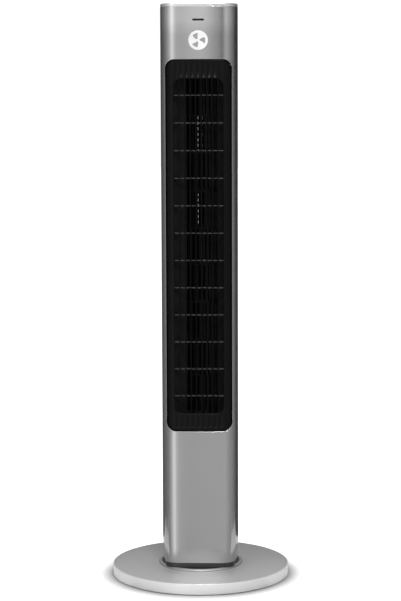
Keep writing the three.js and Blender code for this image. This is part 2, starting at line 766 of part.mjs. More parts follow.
function motorHousing() {
  const top = motorTop - 2 - gap;
  return turned([
    [6, motorLow], [motorRadius, motorLow], [motorRadius, top], [motorRadius - 2, top],
    [motorRadius - 2, motorLow + 2], [6, motorLow + 2],
  ], 24, impellerX, impellerY);
}

add("motor_housing", motorHousing(), steel());
add("motor_cover",
  tube(impellerX, impellerY, motorRadius, shaftRadius + 1, motorTop - 2, motorTop, 24), steel());
add("stator",
  tube(impellerX, impellerY, motorRadius - 2 - gap, 24, motorLow + 8, motorTop - 10, 24), steel());
add("rotor_core",
  tube(impellerX, impellerY, 23.4, shaftRadius + gap, motorLow + 9, motorTop - 11, 24), steel());
add("motor_shaft", rod(impellerX, impellerY, shaftRadius, motorLow - 3, impellerLow + 16, 16), steel());
for (let i = 0; i < 3; i++) {
  const turn = (30 + 120 * i) * degree;
  const [x, y] = [impellerX + 32 * Math.cos(turn), impellerY + 32 * Math.sin(turn)];
  add(`motor_mount_${i + 1}`, rod(x, y, 6, motorTop + gap, motorPlateTop - plateThickness - gap, 12), rubber());
}

// ---- Electrics in the column ----

function powerBoard() {
  const low = bodyBottom + 75;
  return joined([
    box(-30, 30, 34, 35.6, low, low + 80),
    box(-22, 4, 16, 34.1, low + 44, low + 70),
    box(10, 26, 26, 34.1, low + 40, low + 56),
    box(-24, 24, 26, 34.1, low + 6, low + 16),
  ]);
}

add("power_board", powerBoard(), boardGreen());
add("capacitor", rod(-22, -20, 12, bodyBottom + 90, bodyBottom + 132, 16), white());

// ---- Top ----

const panelTop = ledgeTop + gap + panelThickness;
const buttonTop = panelTop + 1;
const boardTop = ledgeTop - 10;
const buttonPlaces = [-1.5, -0.5, 0.5, 1.5].map((step) => step * buttonPitch);

function topCap() {
  const chamfer = 1.4;
  const outside = prism(bodyOutline(0.2), shellTop + gap, overallHeight - chamfer)
    .add(loft(0.2, overallHeight - chamfer, 0.2 + chamfer, overallHeight));
  const ledge = prism(bodyOutline(panelInset + 0.1), ledgeTop - 2.5, ledgeTop + 0.1);
  const skirt = prism(bodyOutline(panelInset + 0.1), ledgeTop - 10, ledgeTop);
  const skirtHollow = prism(bodyOutline(panelInset + 2.1), ledgeTop - 11, ledgeTop - 2.5);
  return joined([outside, ledge, skirt.subtract(skirtHollow)])
    .subtract(prism(bodyOutline(capBorder), ledgeTop, overallHeight + 1))
    .subtract(prism(bodyOutline(capBorder + 3), ledgeTop - 12, overallHeight + 1));
}

function controlPanel() {
  const plate = prism(bodyOutline(capBorder + gap), ledgeTop + gap, panelTop);
  const posts = [[-36, 30], [36, 30], [-36, -32], [36, -32]].map(([x, y]) => (
    rod(x, y, 2.5, boardTop + gap, ledgeTop + 1, 10)));
  const holes = buttonPlaces.map((x) => rod(x, buttonY, buttonRadius + 0.4, ledgeTop, panelTop + 1, 16));
  return joined([plate, ...posts]).subtract(joined(holes));
}

function button(x) {
  const cap = turned([
    [0, ledgeTop - 1], [buttonRadius, ledgeTop - 1], [buttonRadius, buttonTop - 0.5],
    [buttonRadius - 0.5, buttonTop], [0, buttonTop],
  ], 16, x, buttonY);
  const flange = rod(x, buttonY, buttonRadius + 1.4, ledgeTop - 2, ledgeTop - 0.4, 16);
  return joined([cap, flange, rod(x, buttonY, 1.5, boardTop + 3.6 + buttonTravel + gap, ledgeTop, 8)]);
}

function controlBoard() {
  const switches = buttonPlaces.map((x) => (
    box(x - 3, x + 3, buttonY - 3, buttonY + 3, boardTop - 0.2, boardTop + 3.6)));
  const eye = shellTop - slitDrop;
  return joined([
    box(-40, 40, -48, 36, boardTop - 1.6, boardTop),
    box(-14, 14, 4, 24, boardTop - 0.2, boardTop + 6),
    box(-7, 7, -48, -46.4, eye - 7, boardTop - 1),
    box(-4, 4, -52, -47, eye - 4, eye + 4),
    ...switches,
  ]);
}

function signalWindow() {
  const middle = shellTop - slitDrop;
  const face = roundedBox(slitWidth, middle - slitHeight / 2, middle + slitHeight / 2, slitHeight / 2 - 0.01);
  const low = middle - 10;
  const lens = frontPrism(face, -frontReach - 5, -frontReach / 2)
    .intersect(frontBand(0.4, shellWall + 1.2, low, low + 20));
  const flange = frontBand(shellWall + gap, shellWall + 1.6, middle - 3.5, middle + 3.5)
    .intersect(box(-slitWidth / 2 - 3, slitWidth / 2 + 3, -frontReach, 0, low, low + 20));
  return lens.add(flange);
}

// A plain disc just proud of the front, with a small three-bladed fan cut through it.
function badge() {
  const middle = shellTop - badgeDrop;
  const polar = (radius, turn) => new THREE.Vector2(radius * Math.cos(turn), middle + radius * Math.sin(turn));
  const curve = (from, bend, to) => new THREE.QuadraticBezierCurve(from, bend, to).getPoints(4).slice(1);
  const blades = [90, 210, 330].map((turn) => {
    const start = turn * degree;
    const lead = (turn + 52) * degree;
    const tip = arc(0, middle, badgeBladeReach, start, lead, 5);
    const back = curve(tip.at(-1), polar(0.6 * badgeBladeReach, lead + 0.3), polar(badgeBladeRoot, lead));
    const front = curve(
      polar(badgeBladeRoot, start + 0.2), polar(0.55 * badgeBladeReach, start + 0.3), tip[0]).slice(0, -1);
    return [...tip, ...back, polar(badgeBladeRoot, start + 0.2), ...front];
  });
  const disc = arc(0, middle, badgeRadius, 0, 2 * Math.PI, 36).slice(0, -1);
  const [face, ...cuts] = [disc, ...blades].map((shape) => frontPrism(shape, -frontReach - 5, -frontReach / 2));
  return face.subtract(joined(cuts))
    .intersect(frontBand(-gap - badgeThickness, -gap, middle - badgeRadius - 2, middle + badgeRadius + 2));
}

add("top_cap", topCap(), brightTrim());
add("control_panel", controlPanel(), glossBlack());
["power_button", "speed_button", "timer_button", "swing_button"].forEach((name, i) => {
  add(name, button(buttonPlaces[i]), satinGrey());
});
add("control_board", controlBoard(), boardGreen());
add("signal_window", signalWindow(), glossBlack());
add("badge", badge(), white());

export default fan;
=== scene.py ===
import math

import bmesh
import bpy
from mathutils import Matrix, Vector


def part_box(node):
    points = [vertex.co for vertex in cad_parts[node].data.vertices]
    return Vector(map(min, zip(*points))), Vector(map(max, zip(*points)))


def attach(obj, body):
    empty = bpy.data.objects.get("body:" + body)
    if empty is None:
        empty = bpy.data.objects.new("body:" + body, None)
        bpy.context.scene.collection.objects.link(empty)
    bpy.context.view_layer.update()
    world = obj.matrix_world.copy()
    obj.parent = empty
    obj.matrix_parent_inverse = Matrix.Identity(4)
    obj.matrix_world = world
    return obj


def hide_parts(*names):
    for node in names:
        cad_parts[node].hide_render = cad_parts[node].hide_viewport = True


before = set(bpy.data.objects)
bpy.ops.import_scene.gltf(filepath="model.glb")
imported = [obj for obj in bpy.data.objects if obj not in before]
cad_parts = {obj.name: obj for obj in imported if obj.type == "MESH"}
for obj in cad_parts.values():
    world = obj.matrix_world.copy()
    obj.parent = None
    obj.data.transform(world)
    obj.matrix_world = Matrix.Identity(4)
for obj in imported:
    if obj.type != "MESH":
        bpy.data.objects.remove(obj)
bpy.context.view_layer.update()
mm = 0.001  # the shapes below are worked out in millimetres


def nodeBox(node):
    low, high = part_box(node)
    return low / mm, high / mm


# ---------- sizes read from the frame ----------
frontLow, frontHigh = nodeBox("front_shell")
rearLow, rearHigh = nodeBox("rear_shell")
panelLow, panelHigh = nodeBox("front_grille")
baseLow, baseHigh = nodeBox("base_rim")
impellerBox = nodeBox("impeller_middle")
axisX = (impellerBox[0].x + impellerBox[1].x) / 2
axisY = (impellerBox[0].y + impellerBox[1].y) / 2

casing = {
    "frontRadius": 534,
    "shoulderRadius": 24,
    "wallFlare": math.radians(6.7),
    "wall": 2.5,
    "footTaper": 1.5,
    "footTaperHeight": 40,
    "seamUpper": -2,
    "seamLower": 8,
    "seamGap": 0.3,
}
bodyRadius = rearHigh.x
frontReach = -frontLow.y
shellBottom, shellTop = frontLow.z, frontHigh.z

opening = {
    "seam": 1.5, "corner": 16, "outletRim": 15.35,
    "topBand": 33.9, "bottomBand": 32.5, "outletCorner": 14,
}
openingHalf = panelHigh.x + opening["seam"]
openingBottom = panelLow.z - opening["seam"]
openingTop = panelHigh.z + opening["seam"]
outletHalf = openingHalf - opening["outletRim"]
outletBottom = openingBottom + opening["bottomBand"]
outletTop = openingTop - opening["topBand"]
panelInset = casing["wall"] + 0.3


# ---------- the casing's section ----------
def shoulderCentre():
    flare = casing["wallFlare"]
    centreY = casing["frontRadius"] - frontReach
    reach = bodyRadius - casing["shoulderRadius"]
    across = reach + centreY * math.sin(flare)
    span = casing["frontRadius"] - casing["shoulderRadius"]
    along = math.sqrt(span ** 2 - across ** 2) - centreY * math.cos(flare)
    return (reach * math.cos(flare) - along * math.sin(flare),
            -reach * math.sin(flare) - along * math.cos(flare), centreY)


shoulderX, shoulderY, frontCentreY = shoulderCentre()


def frontY(x, inset):
    # how far forward the section stands at x, moved in by inset
    lean = shoulderX / math.hypot(shoulderX, frontCentreY - shoulderY)
    small = casing["shoulderRadius"] - inset
    if abs(x) <= shoulderX + small * lean:
        return frontCentreY - math.sqrt((casing["frontRadius"] - inset) ** 2 - x * x)
    return shoulderY - math.sqrt(max(small ** 2 - (abs(x) - shoulderX) ** 2, 0))


def arcPoints(x, y, radius, start, stop, steps):
    turns = [start + (stop - start) * k / steps for k in range(steps + 1)]
    return [(x + radius * math.cos(t), y + radius * math.sin(t)) for t in turns]


def fullSection(inset, rearSteps=64, shoulderSteps=14, frontSteps=12):
    # the whole closed section, moved in by inset
    flare = casing["wallFlare"]
    turn = math.atan2(shoulderY - frontCentreY, shoulderX)
    small = casing["shoulderRadius"] - inset
    rear = arcPoints(0, 0, bodyRadius - inset, -flare, math.pi + flare, rearSteps)
    left = arcPoints(-shoulderX, shoulderY, small, math.pi + flare, math.pi - turn, shoulderSteps)
    front = arcPoints(0, frontCentreY, casing["frontRadius"] - inset,
                      math.pi - turn, turn + 2 * math.pi, frontSteps)[1:-1]
    right = arcPoints(shoulderX, shoulderY, small, turn, -flare, shoulderSteps)
    return rear + left + front + right


def seamAt(z):
    # the two shells meet further back in the lower column
    stepTop = openingBottom - 25
    share = min(max((z - (stepTop - 50)) / 50, 0), 1)
    return casing["seamLower"] + (casing["seamUpper"] - casing["seamLower"]) * share


def taperAt(z):
    share = max(shellBottom + casing["footTaperHeight"] - z, 0) / casing["footTaperHeight"]
    return casing["footTaper"] * share


# ---------- mesh makers ----------
def addSlab(builder, columns, rows, place, isOpen=None, edge=None):
    # a sheet with a face skin and a back skin, closed along every edge
    # edge(i, j) says how soft the rim is towards the missing cell i, j
    corners = {}
    weights = builder.edges.layers.float.get("bevel_weight_edge") or \
        builder.edges.layers.float.new("bevel_weight_edge")

    def corner(i, j, skin):
        if (i, j, skin) not in corners:
            corners[i, j, skin] = builder.verts.new(place(i, j, skin))
        return corners[i, j, skin]

    def missing(i, j):
        outside = not (0 <= i < columns and 0 <= j < rows)
        return outside or (isOpen is not None and isOpen(i, j))

    rims = []
    for i in range(columns):
        for j in range(rows):
            if missing(i, j):
                continue
            around = [(i, j), (i + 1, j), (i + 1, j + 1), (i, j + 1)]
            builder.faces.new([corner(*p, 0) for p in around])
            builder.faces.new([corner(*p, 1) for p in reversed(around)])
            for side, (di, dj) in enumerate(((0, -1), (1, 0), (0, 1), (-1, 0))):
                if missing(i + di, j + dj):
                    rims.append((around[side], around[(side + 1) % 4], i + di, j + dj))
    for p, q, i, j in rims:
        builder.faces.new([corner(*q, 0), corner(*p, 0), corner(*p, 1), corner(*q, 1)])
        soft = edge(i, j) if edge else (1, 1)
        for skin in (0, 1):
            line = builder.edges.get((corner(*p, skin), corner(*q, skin)))
            line[weights] = soft[skin]


def addTurned(builder, profile, steps=96, centre=(0, 0), upright=True):
    # a closed profile of (radius, height) turned round an upright line, or round a line along Y
    made = []
    rings = []
    for k in range(steps):
        c, s = math.cos(2 * math.pi * k / steps), math.sin(2 * math.pi * k / steps)
        ring = []
        for radius, height in profile:
            if upright:
                place = (centre[0] + radius * c, centre[1] + radius * s, height)
            else:
                place = (centre[0] + radius * c, height, centre[1] + radius * s)
            ring.append(builder.verts.new(place))
        rings.append(ring)
        made += ring
    count = len(profile)
    for k in range(steps):
        a, b = rings[k], rings[(k + 1) % steps]
        for n in range(count):
            if profile[n][0] < 1e-6 and profile[(n + 1) % count][0] < 1e-6:
                continue
            builder.faces.new([a[n], b[n], b[(n + 1) % count], a[(n + 1) % count]])
    bmesh.ops.remove_doubles(builder, verts=made, dist=1e-4)


def addRings(builder, rings, closed=False):
    # joins rings of points in order, and either closes on itself or is capped at both ends
    lines = [[builder.verts.new(p) for p in ring] for ring in rings]
    count = len(lines[0])
    last = len(lines) if closed else len(lines) - 1
    for r in range(last):
        a, b = lines[r], lines[(r + 1) % len(lines)]
        for n in range(count):
            m = (n + 1) % count
            builder.faces.new([a[n], a[m], b[m], b[n]])
    if not closed:
        builder.faces.new(list(reversed(lines[0])))
        builder.faces.new(lines[-1])


def addStack(builder, profile, closed=False):
    # the casing's section carried through a profile of (inset, height)
    addRings(builder, [[(x, y, z) for x, y in fullSection(inset)] for inset, z in profile], closed)


def addPrism(builder, outline, low, high):
    addRings(builder, [[(x, y, low) for x, y in outline], [(x, y, high) for x, y in outline]])


def addBox(builder, left, right, front, back, low, high):
    addPrism(builder, [(left, front), (right, front), (right, back), (left, back)], low, high)


def roundedCorner(a, corner, b, radius, steps):
    # replaces one corner of a profile by an arc-like curve
    a, corner, b = Vector(a), Vector(corner), Vector(b)
    start = corner + (a - corner).normalized() * radius
    stop = corner + (b - corner).normalized() * radius
    points = []
    for k in range(steps + 1):
        t = k / steps
        bend = 0.55
        p1, p2 = start.lerp(corner, bend), stop.lerp(corner, bend)
        points.append(tuple(start * (1 - t) ** 3 + p1 * 3 * t * (1 - t) ** 2
                            + p2 * 3 * t * t * (1 - t) + stop * t ** 3))
    return points


def softProfile(profile, radii, steps=4):
    # rounds the corners of a closed profile that are given a radius
    points = []
    for n, point in enumerate(profile):
        if radii.get(n):
            points += roundedCorner(profile[n - 1], point, profile[(n + 1) % len(profile)], radii[n], steps)
        else:
            points.append(point)
    return points


def roundedRectangle(halfWidth, low, high, radius, steps=6):
    x = halfWidth - radius
    points = []
    top, bottom = high - radius, low + radius
    for quarter, (cx, cz) in enumerate(((x, top), (-x, top), (-x, bottom), (x, bottom))):
        points += arcPoints(cx, cz, radius, quarter * math.pi / 2, (quarter + 1) * math.pi / 2, steps)
    return points


def spread(start, stop, steps):
    return [start + (stop - start) * k / steps for k in range(steps + 1)]


def cornerRise(x, half, radius):
    # how far a rounded rectangle's corner lifts its edge at x
    past = abs(x) - (half - radius)
    if past <= 0:
        return 0
    return radius - math.sqrt(max(radius ** 2 - min(past, radius) ** 2, 0))


def insideRoundedRectangle(x, z, half, low, high, radius):
    # distance inside a rounded rectangle, negative outside it
    midZ = (low + high) / 2
    across = abs(x) - (half - radius)
    up = abs(z - midZ) - ((high - low) / 2 - radius)
    outside = math.hypot(max(across, 0), max(up, 0))
    return radius - outside - min(max(across, up), 0)


def newPiece(name, builder, finish, body, nodes=(), sharp=38):
    for vert in builder.verts:
        vert.co *= mm
    bmesh.ops.recalc_face_normals(builder, faces=builder.faces)
    mesh = bpy.data.meshes.new(name)
    builder.to_mesh(mesh)
    builder.free()
    mesh.shade_smooth()
    mesh.set_sharp_from_angle(angle=math.radians(sharp))
    piece = bpy.data.objects.new(name, mesh)
    bpy.context.scene.collection.objects.link(piece)
    mesh.materials.append(finish)
    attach(piece, body)
    if nodes:
        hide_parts(*nodes)
    return piece


def carve(piece, cutter, keepsInside=False):
    # cuts the piece by a closed mesh, or keeps only what is inside it
    for vert in cutter.verts:
        vert.co *= mm
    bmesh.ops.recalc_face_normals(cutter, faces=cutter.faces)
    shape = bpy.data.meshes.new("cutter")
    cutter.to_mesh(shape)
    cutter.free()
    tool = bpy.data.objects.new("cutter", shape)
    bpy.context.scene.collection.objects.link(tool)
    cut = piece.modifiers.new("cut", "BOOLEAN")
    cut.operation = "INTERSECT" if keepsInside else "DIFFERENCE"
    cut.solver = "EXACT"
    cut.object = tool
    shown = piece.evaluated_get(bpy.context.evaluated_depsgraph_get())
    result = bpy.data.meshes.new_from_object(shown)
    piece.modifiers.remove(cut)
    old = piece.data
    piece.data = result
    result.name = old.name
    bpy.data.meshes.remove(old)
    bpy.data.objects.remove(tool)
    bpy.data.meshes.remove(shape)
    piece.data.set_sharp_from_angle(angle=math.radians(38))


def softenEdges(piece, width, segments=2, byWeight=False, angle=38):
    bevel = piece.modifiers.new("soft edges", "BEVEL")
    bevel.width = width * mm
    bevel.segments = segments
    bevel.limit_method = "WEIGHT" if byWeight else "ANGLE"
    bevel.angle_limit = math.radians(angle)
    bevel.harden_normals = True
    bevel.use_clamp_overlap = True
    return bevel


# ---------- finishes ----------
def newFinish(name, metallic=0.0, roughness=0.5, specular=0.5, coatOrPaintedTopLight=0.0, coatRoughness=0.1):
    finish = bpy.data.materials.new(name)
    finish.use_nodes = True
    shader = finish.node_tree.nodes["Principled BSDF"]
    shader.inputs["Metallic"].default_value = metallic
    shader.inputs["Roughness"].default_value = roughness
    shader.inputs["Specular IOR Level"].default_value = specular
    shader.inputs["Coat Weight"].default_value = coatOrPaintedTopLight
    shader.inputs["Coat Roughness"].default_value = coatRoughness
    return finish, finish.node_tree, shader


def objectPlace(tree, stretch=(1, 1, 1)):
    place = tree.nodes.new("ShaderNodeTexCoord")
    mapping = tree.nodes.new("ShaderNodeMapping")
    mapping.inputs["Scale"].default_value = stretch
    tree.links.new(place.outputs["Object"], mapping.inputs["Vector"])
    return mapping.outputs["Vector"]


def noise(tree, place, scale, detail=3.0, rough=0.55):
    texture = tree.nodes.new("ShaderNodeTexNoise")
    texture.inputs["Scale"].default_value = scale
    texture.inputs["Detail"].default_value = detail
    texture.inputs["Roughness"].default_value = rough
    tree.links.new(place, texture.inputs["Vector"])
    return texture.outputs["Fac"]


def cells(tree, place, scale, feature="F1"):
    texture = tree.nodes.new("ShaderNodeTexVoronoi")
    texture.feature = feature
    texture.inputs["Scale"].default_value = scale
    tree.links.new(place, texture.inputs["Vector"])
    return texture.outputs["Distance"]


def between(tree, source, low, high, fromLow=0.3, fromHigh=0.7):
    step = tree.nodes.new("ShaderNodeMapRange")
    step.inputs["From Min"].default_value = fromLow
    step.inputs["From Max"].default_value = fromHigh
    step.inputs["To Min"].default_value = low
    step.inputs["To Max"].default_value = high
    tree.links.new(source, step.inputs["Value"])
    return step.outputs["Result"]


def shades(tree, source, dark, light, low=0.3, high=0.7):
    ramp = tree.nodes.new("ShaderNodeValToRGB")
    ramp.color_ramp.elements[0].position = low
    ramp.color_ramp.elements[1].position = high
    ramp.color_ramp.elements[0].color = (*dark, 1)
    ramp.color_ramp.elements[1].color = (*light, 1)
    tree.links.new(source, ramp.inputs["Fac"])
    return ramp.outputs["Color"]


def blended(tree, factor, a, b, how="MIX"):
    mix = tree.nodes.new("ShaderNodeMix")
    mix.data_type = "RGBA"
    mix.blend_type = how
    if isinstance(factor, float):
        mix.inputs["Factor"].default_value = factor
    else:
        tree.links.new(factor, mix.inputs["Factor"])
    tree.links.new(a, mix.inputs["A"])
    tree.links.new(b, mix.inputs["B"])
    return mix.outputs["Result"]


def bumped(tree, shader, heights):
    # stacks several (height, strength, depth in metres) bumps
    normal = None
    for height, strength, depth in heights:
        bump = tree.nodes.new("ShaderNodeBump")
        bump.inputs["Strength"].default_value = strength
        bump.inputs["Distance"].default_value = depth
        tree.links.new(height, bump.inputs["Height"])
        if normal is not None:
            tree.links.new(normal, bump.inputs["Normal"])
        normal = bump.outputs["Normal"]
    tree.links.new(normal, shader.inputs["Normal"])


def grey(value, tint=1.0):
    return (value, value, value * tint)


def metallicPaint(name, look):
    # fine aluminium flake under a satin lacquer
    finish, tree, shader = newFinish(name, look["metallic"], look["roughness"], look["specular"],
                                     look["coatOrPaintedTopLight"], look["coatRoughness"])
    place = objectPlace(tree)
    flake = noise(tree, place, look["flakeScale"], 2)
    drift = noise(tree, place, 9, 3)
    base = look["shade"]
    swing = base * look["flake"]
    flaked = shades(tree, flake, grey(base - swing, 1.01), grey(base + swing, 1.01))
    drifted = shades(tree, drift, grey(0.97), grey(1.0))
    painted = blended(tree, 1.0, flaked, drifted, "MULTIPLY")
    if "paintedTopLight" in look:
        # painted highlight: the paint is made paler towards the top edge, standing in for the brighter light
        # that falls on the top of the column
        split = tree.nodes.new("ShaderNodeSeparateXYZ")
        tree.links.new(place, split.inputs["Vector"])
        low, high, paler = look["paintedTopLight"]
        coatOrPaintedTopLight = shades(tree, split.outputs["Z"], grey(1.0), grey(paler), low, high)
        painted = blended(tree, 1.0, painted, coatOrPaintedTopLight, "MULTIPLY")
    tree.links.new(painted, shader.inputs["Base Color"])
    rubbed = between(tree, noise(tree, place, 34, 4), look["roughness"] - 0.02, look["roughness"] + 0.03)
    tree.links.new(rubbed, shader.inputs["Roughness"])
    bumped(tree, shader, [(noise(tree, place, 420, 2), look["peel"], 0.00004), (flake, 0.012, 0.00002)])
    return finish


def mouldedPlastic(name, look):
    # spark-eroded grain, slightly polished where it is handled
    finish, tree, shader = newFinish(name, 0.0, look["roughness"], look["specular"])
    place = objectPlace(tree)
    grain = cells(tree, place, look["grainScale"])
    cloud = noise(tree, place, 26, 4)
    base = look["shade"]
    shaded = shades(tree, cloud, grey(base * 0.86, look["tint"]), grey(base * 1.14, look["tint"]))
    speck = shades(tree, grain, grey(0.9), grey(1.06), 0.0, 0.8)
    tree.links.new(blended(tree, 1.0, shaded, speck, "MULTIPLY"), shader.inputs["Base Color"])
    rubbed = between(tree, cloud, look["roughness"] - 0.05, look["roughness"] + 0.06)
    tree.links.new(rubbed, shader.inputs["Roughness"])
    fine = noise(tree, place, look["grainScale"] * 2.3, 2)
    bumped(tree, shader, [(grain, look["grain"], 0.00006), (fine, look["grain"] * 0.5, 0.00003)])
    return finish


def metalSheet(name, look):
    # zinc-plated or drawn metal: long faint draw lines over a soft spangle
    finish, tree, shader = newFinish(name, 1.0, look["roughness"])
    place = objectPlace(tree)
    drawn = noise(tree, objectPlace(tree, look["draw"]), 260, 4)
    spangle = cells(tree, place, look["spangleScale"])
    base = look["shade"]
    sheet = shades(tree, spangle, grey(base * 0.9, look["tint"]), grey(base * 1.06, look["tint"]), 0.1, 0.6)
    lines = shades(tree, drawn, grey(0.93), grey(1.0))
    tree.links.new(blended(tree, 1.0, sheet, lines, "MULTIPLY"), shader.inputs["Base Color"])
    rubbed = between(tree, drawn, look["roughness"] - 0.07, look["roughness"] + 0.08)
    tree.links.new(rubbed, shader.inputs["Roughness"])
    bumped(tree, shader, [(drawn, 0.12, 0.00003)])
    return finish


def windings():
    # copper wire in even turns between steel laminations
    finish, tree, shader = newFinish("copperWindings", 0.9, 0.36)
    place = objectPlace(tree)
    wire = tree.nodes.new("ShaderNodeTexWave")
    wire.bands_direction = "Z"
    wire.inputs["Scale"].default_value = 320
    wire.inputs["Distortion"].default_value = 1.2
    tree.links.new(place, wire.inputs["Vector"])
    tree.links.new(shades(tree, wire.outputs["Fac"], (0.19, 0.06, 0.02), (0.62, 0.27, 0.12), 0.1, 0.8),
                   shader.inputs["Base Color"])
    bumped(tree, shader, [(wire.outputs["Fac"], 0.6, 0.0003)])
    return finish


def circuitBoard():
    # green mask with a faint pattern of copper under it
    finish, tree, shader = newFinish("circuitMask", 0.0, 0.38, 0.5)
    place = objectPlace(tree)
    track = cells(tree, place, 240, "DISTANCE_TO_EDGE")
    mask = shades(tree, track, (0.075, 0.16, 0.07), (0.022, 0.075, 0.035), 0.02, 0.12)
    tree.links.new(mask, shader.inputs["Base Color"])
    tree.links.new(between(tree, noise(tree, place, 60), 0.3, 0.5), shader.inputs["Roughness"])
    bumped(tree, shader, [(track, 0.25, 0.0001)])
    return finish


finishes = {
    "silver": metallicPaint("satinSilverPaint", {
        "shade": 0.55, "metallic": 0.92, "roughness": 0.17, "specular": 0.5, "coatOrPaintedTopLight": 0.0,
        "coatRoughness": 0.3, "flake": 0.05, "flakeScale": 2600, "peel": 0.015,
        # painted highlight: the silver is painted paler near the top of the column
        "paintedTopLight": (0.975, 1.035, 1.28)}),
    "trim": metallicPaint("collarTrim", {
        "shade": 0.4, "metallic": 0.3, "roughness": 0.4, "specular": 0.3, "coatOrPaintedTopLight": 0.0,
        "coatRoughness": 0.3, "flake": 0.03, "flakeScale": 2600, "peel": 0.015}),
    # painted highlight: the cap's silver is made lighter than the casing's, standing in for the overhead light
    # its rounded top edge catches
    "cap": metallicPaint("capSilverPaintedLighter", {
        "shade": 0.85, "metallic": 0.75, "roughness": 0.25, "specular": 0.5, "coatOrPaintedTopLight": 0.0,
        "coatRoughness": 0.2, "flake": 0.03, "flakeScale": 2600, "peel": 0.015}),
    "bright": metallicPaint("brightSilverPaint", {
        "shade": 0.74, "metallic": 0.2, "roughness": 0.34, "specular": 0.5, "coatOrPaintedTopLight": 0.0,
        "coatRoughness": 0.2, "flake": 0.03, "flakeScale": 2600, "peel": 0.015}),
    "cover": metallicPaint("satinGreyCover", {
        "shade": 0.53, "metallic": 0.2, "roughness": 0.42, "specular": 0.4, "coatOrPaintedTopLight": 0.0,
        "coatRoughness": 0.3, "flake": 0.12, "flakeScale": 1100, "peel": 0.22}),
    "button": metallicPaint("satinButton", {
        "shade": 0.5, "metallic": 0.3, "roughness": 0.42, "specular": 0.5, "coatOrPaintedTopLight": 0.1,
        "coatRoughness": 0.3, "flake": 0.05, "flakeScale": 2200, "peel": 0.05}),
    "black": mouldedPlastic("mouldedBlack", {
        "shade": 0.0025, "tint": 1.02, "roughness": 0.34, "specular": 0.13, "grainScale": 1500, "grain": 0.1}),
    "satinBlack": mouldedPlastic("satinNeckBlack", {
        "shade": 0.02, "tint": 1.02, "roughness": 0.24, "specular": 0.7, "grainScale": 1500, "grain": 0.04}),
    # painted highlight: the vanes' black is made lighter than the grille's, standing in for the light their
    # upper faces catch from above; their higher specular is real
    "vane": mouldedPlastic("vaneBlackPaintedLighter", {
        "shade": 0.035, "tint": 1.02, "roughness": 0.34, "specular": 0.6, "grainScale": 1500, "grain": 0.05}),
    # painted light: the duct walls' black is made lighter than the grille's, standing in for the light that
    # reaches them from the front and above
    "ductBlack": mouldedPlastic("ductBlackPaintedLighter", {
        "shade": 0.014, "tint": 1.02, "roughness": 0.45, "specular": 0.2, "grainScale": 1300, "grain": 0.08}),
    "deepBlack": mouldedPlastic("mattImpellerBlack", {
        "shade": 0.004, "tint": 1.02, "roughness": 0.55, "specular": 0.1, "grainScale": 1300, "grain": 0.1}),
    "charcoal": mouldedPlastic("grainedCharcoal", {
        "shade": 0.018, "tint": 1.03, "roughness": 0.48, "specular": 0.4, "grainScale": 1200, "grain": 0.16}),
    "gloss": mouldedPlastic("polishedBlack", {
        "shade": 0.006, "tint": 1.03, "roughness": 0.12, "specular": 0.5, "grainScale": 300, "grain": 0.01}),
    "rubber": mouldedPlastic("mattRubber", {
        "shade": 0.02, "tint": 1.0, "roughness": 0.82, "specular": 0.3, "grainScale": 900, "grain": 0.25}),
    "nylon": mouldedPlastic("naturalNylon", {
        "shade": 0.68, "tint": 0.93, "roughness": 0.5, "specular": 0.45, "grainScale": 800, "grain": 0.08}),
    "white": mouldedPlastic("whitePrint", {
        "shade": 0.66, "tint": 1.0, "roughness": 0.42, "specular": 0.45, "grainScale": 1400, "grain": 0.04}),
    "zinc": metalSheet("zincPlate", {
        "shade": 0.56, "tint": 1.02, "roughness": 0.36, "draw": (1, 1, 14), "spangleScale": 160}),
    "bolt": metalSheet("screwSteel", {
        "shade": 0.42, "tint": 1.01, "roughness": 0.32, "draw": (8, 8, 1), "spangleScale": 700}),
    "copper": windings(),
    "board": circuitBoard(),
}
print("finishes mixed:", len(finishes))


# ---------- base ----------
base = {
    "radius": baseHigh.x,
    "rimWall": 3,
    "rimFillet": 1.2,
    "rimLift": baseLow.z,
    "top": baseHigh.z,
    "coverThickness": 2.5,
    "glandHeight": 10.5,
    "footCircle": 134,
    "footHeight": 2.2,
    "screwCircle": 100,
    "steps": 192,
}


def makeBaseCover():
    outer = base["radius"] - base["rimWall"] - 0.3
    top, low = base["top"], base["top"] - base["coverThickness"]
    builder = bmesh.new()
    profile = [(16.6, low), (outer, low), (outer, top - 0.05), (84, top), (82.6, top - 0.5),
               (79, top - 0.5), (77.6, top), (61, top),
               (61, top - 1.2), (52, top - 1.2), (52, top), (16.6, top)]
    addTurned(builder, softProfile(profile, {2: 0.8, 3: 0.6, 4: 0.5, 5: 0.5, 6: 0.6}, 3), base["steps"])
    for turn in (90, 210, 330):
        x = base["screwCircle"] * math.cos(math.radians(turn))
        y = base["screwCircle"] * math.sin(math.radians(turn))
        addTurned(builder, [(2.1, 5.8), (5, 5.8), (5, low + 0.4), (2.1, low + 0.4)], 24, (x, y))
    newPiece("baseCover", builder, finishes["cover"], "base", ["base_cover"])


def makeBaseRim():
    radius, top, low = base["radius"], base["top"], base["rimLift"]
    inner = radius - base["rimWall"]
    profile = [(inner, low), (radius, low), (radius, top), (inner, top)]
    builder = bmesh.new()
    soft = softProfile(profile, {1: 0.8, 2: base["rimFillet"], 3: 0.3}, 5)
    addTurned(builder, soft, base["steps"])
    piece = newPiece("baseRim", builder, finishes["bright"], "base", ["base_rim"], 50)
    cutter = bmesh.new()
    addTurned(cutter, [(0, inner - 4), (5.7, inner - 4), (5.7, radius + 4), (0, radius + 4)],
              32, (0, base["glandHeight"]), False)
    carve(piece, cutter)


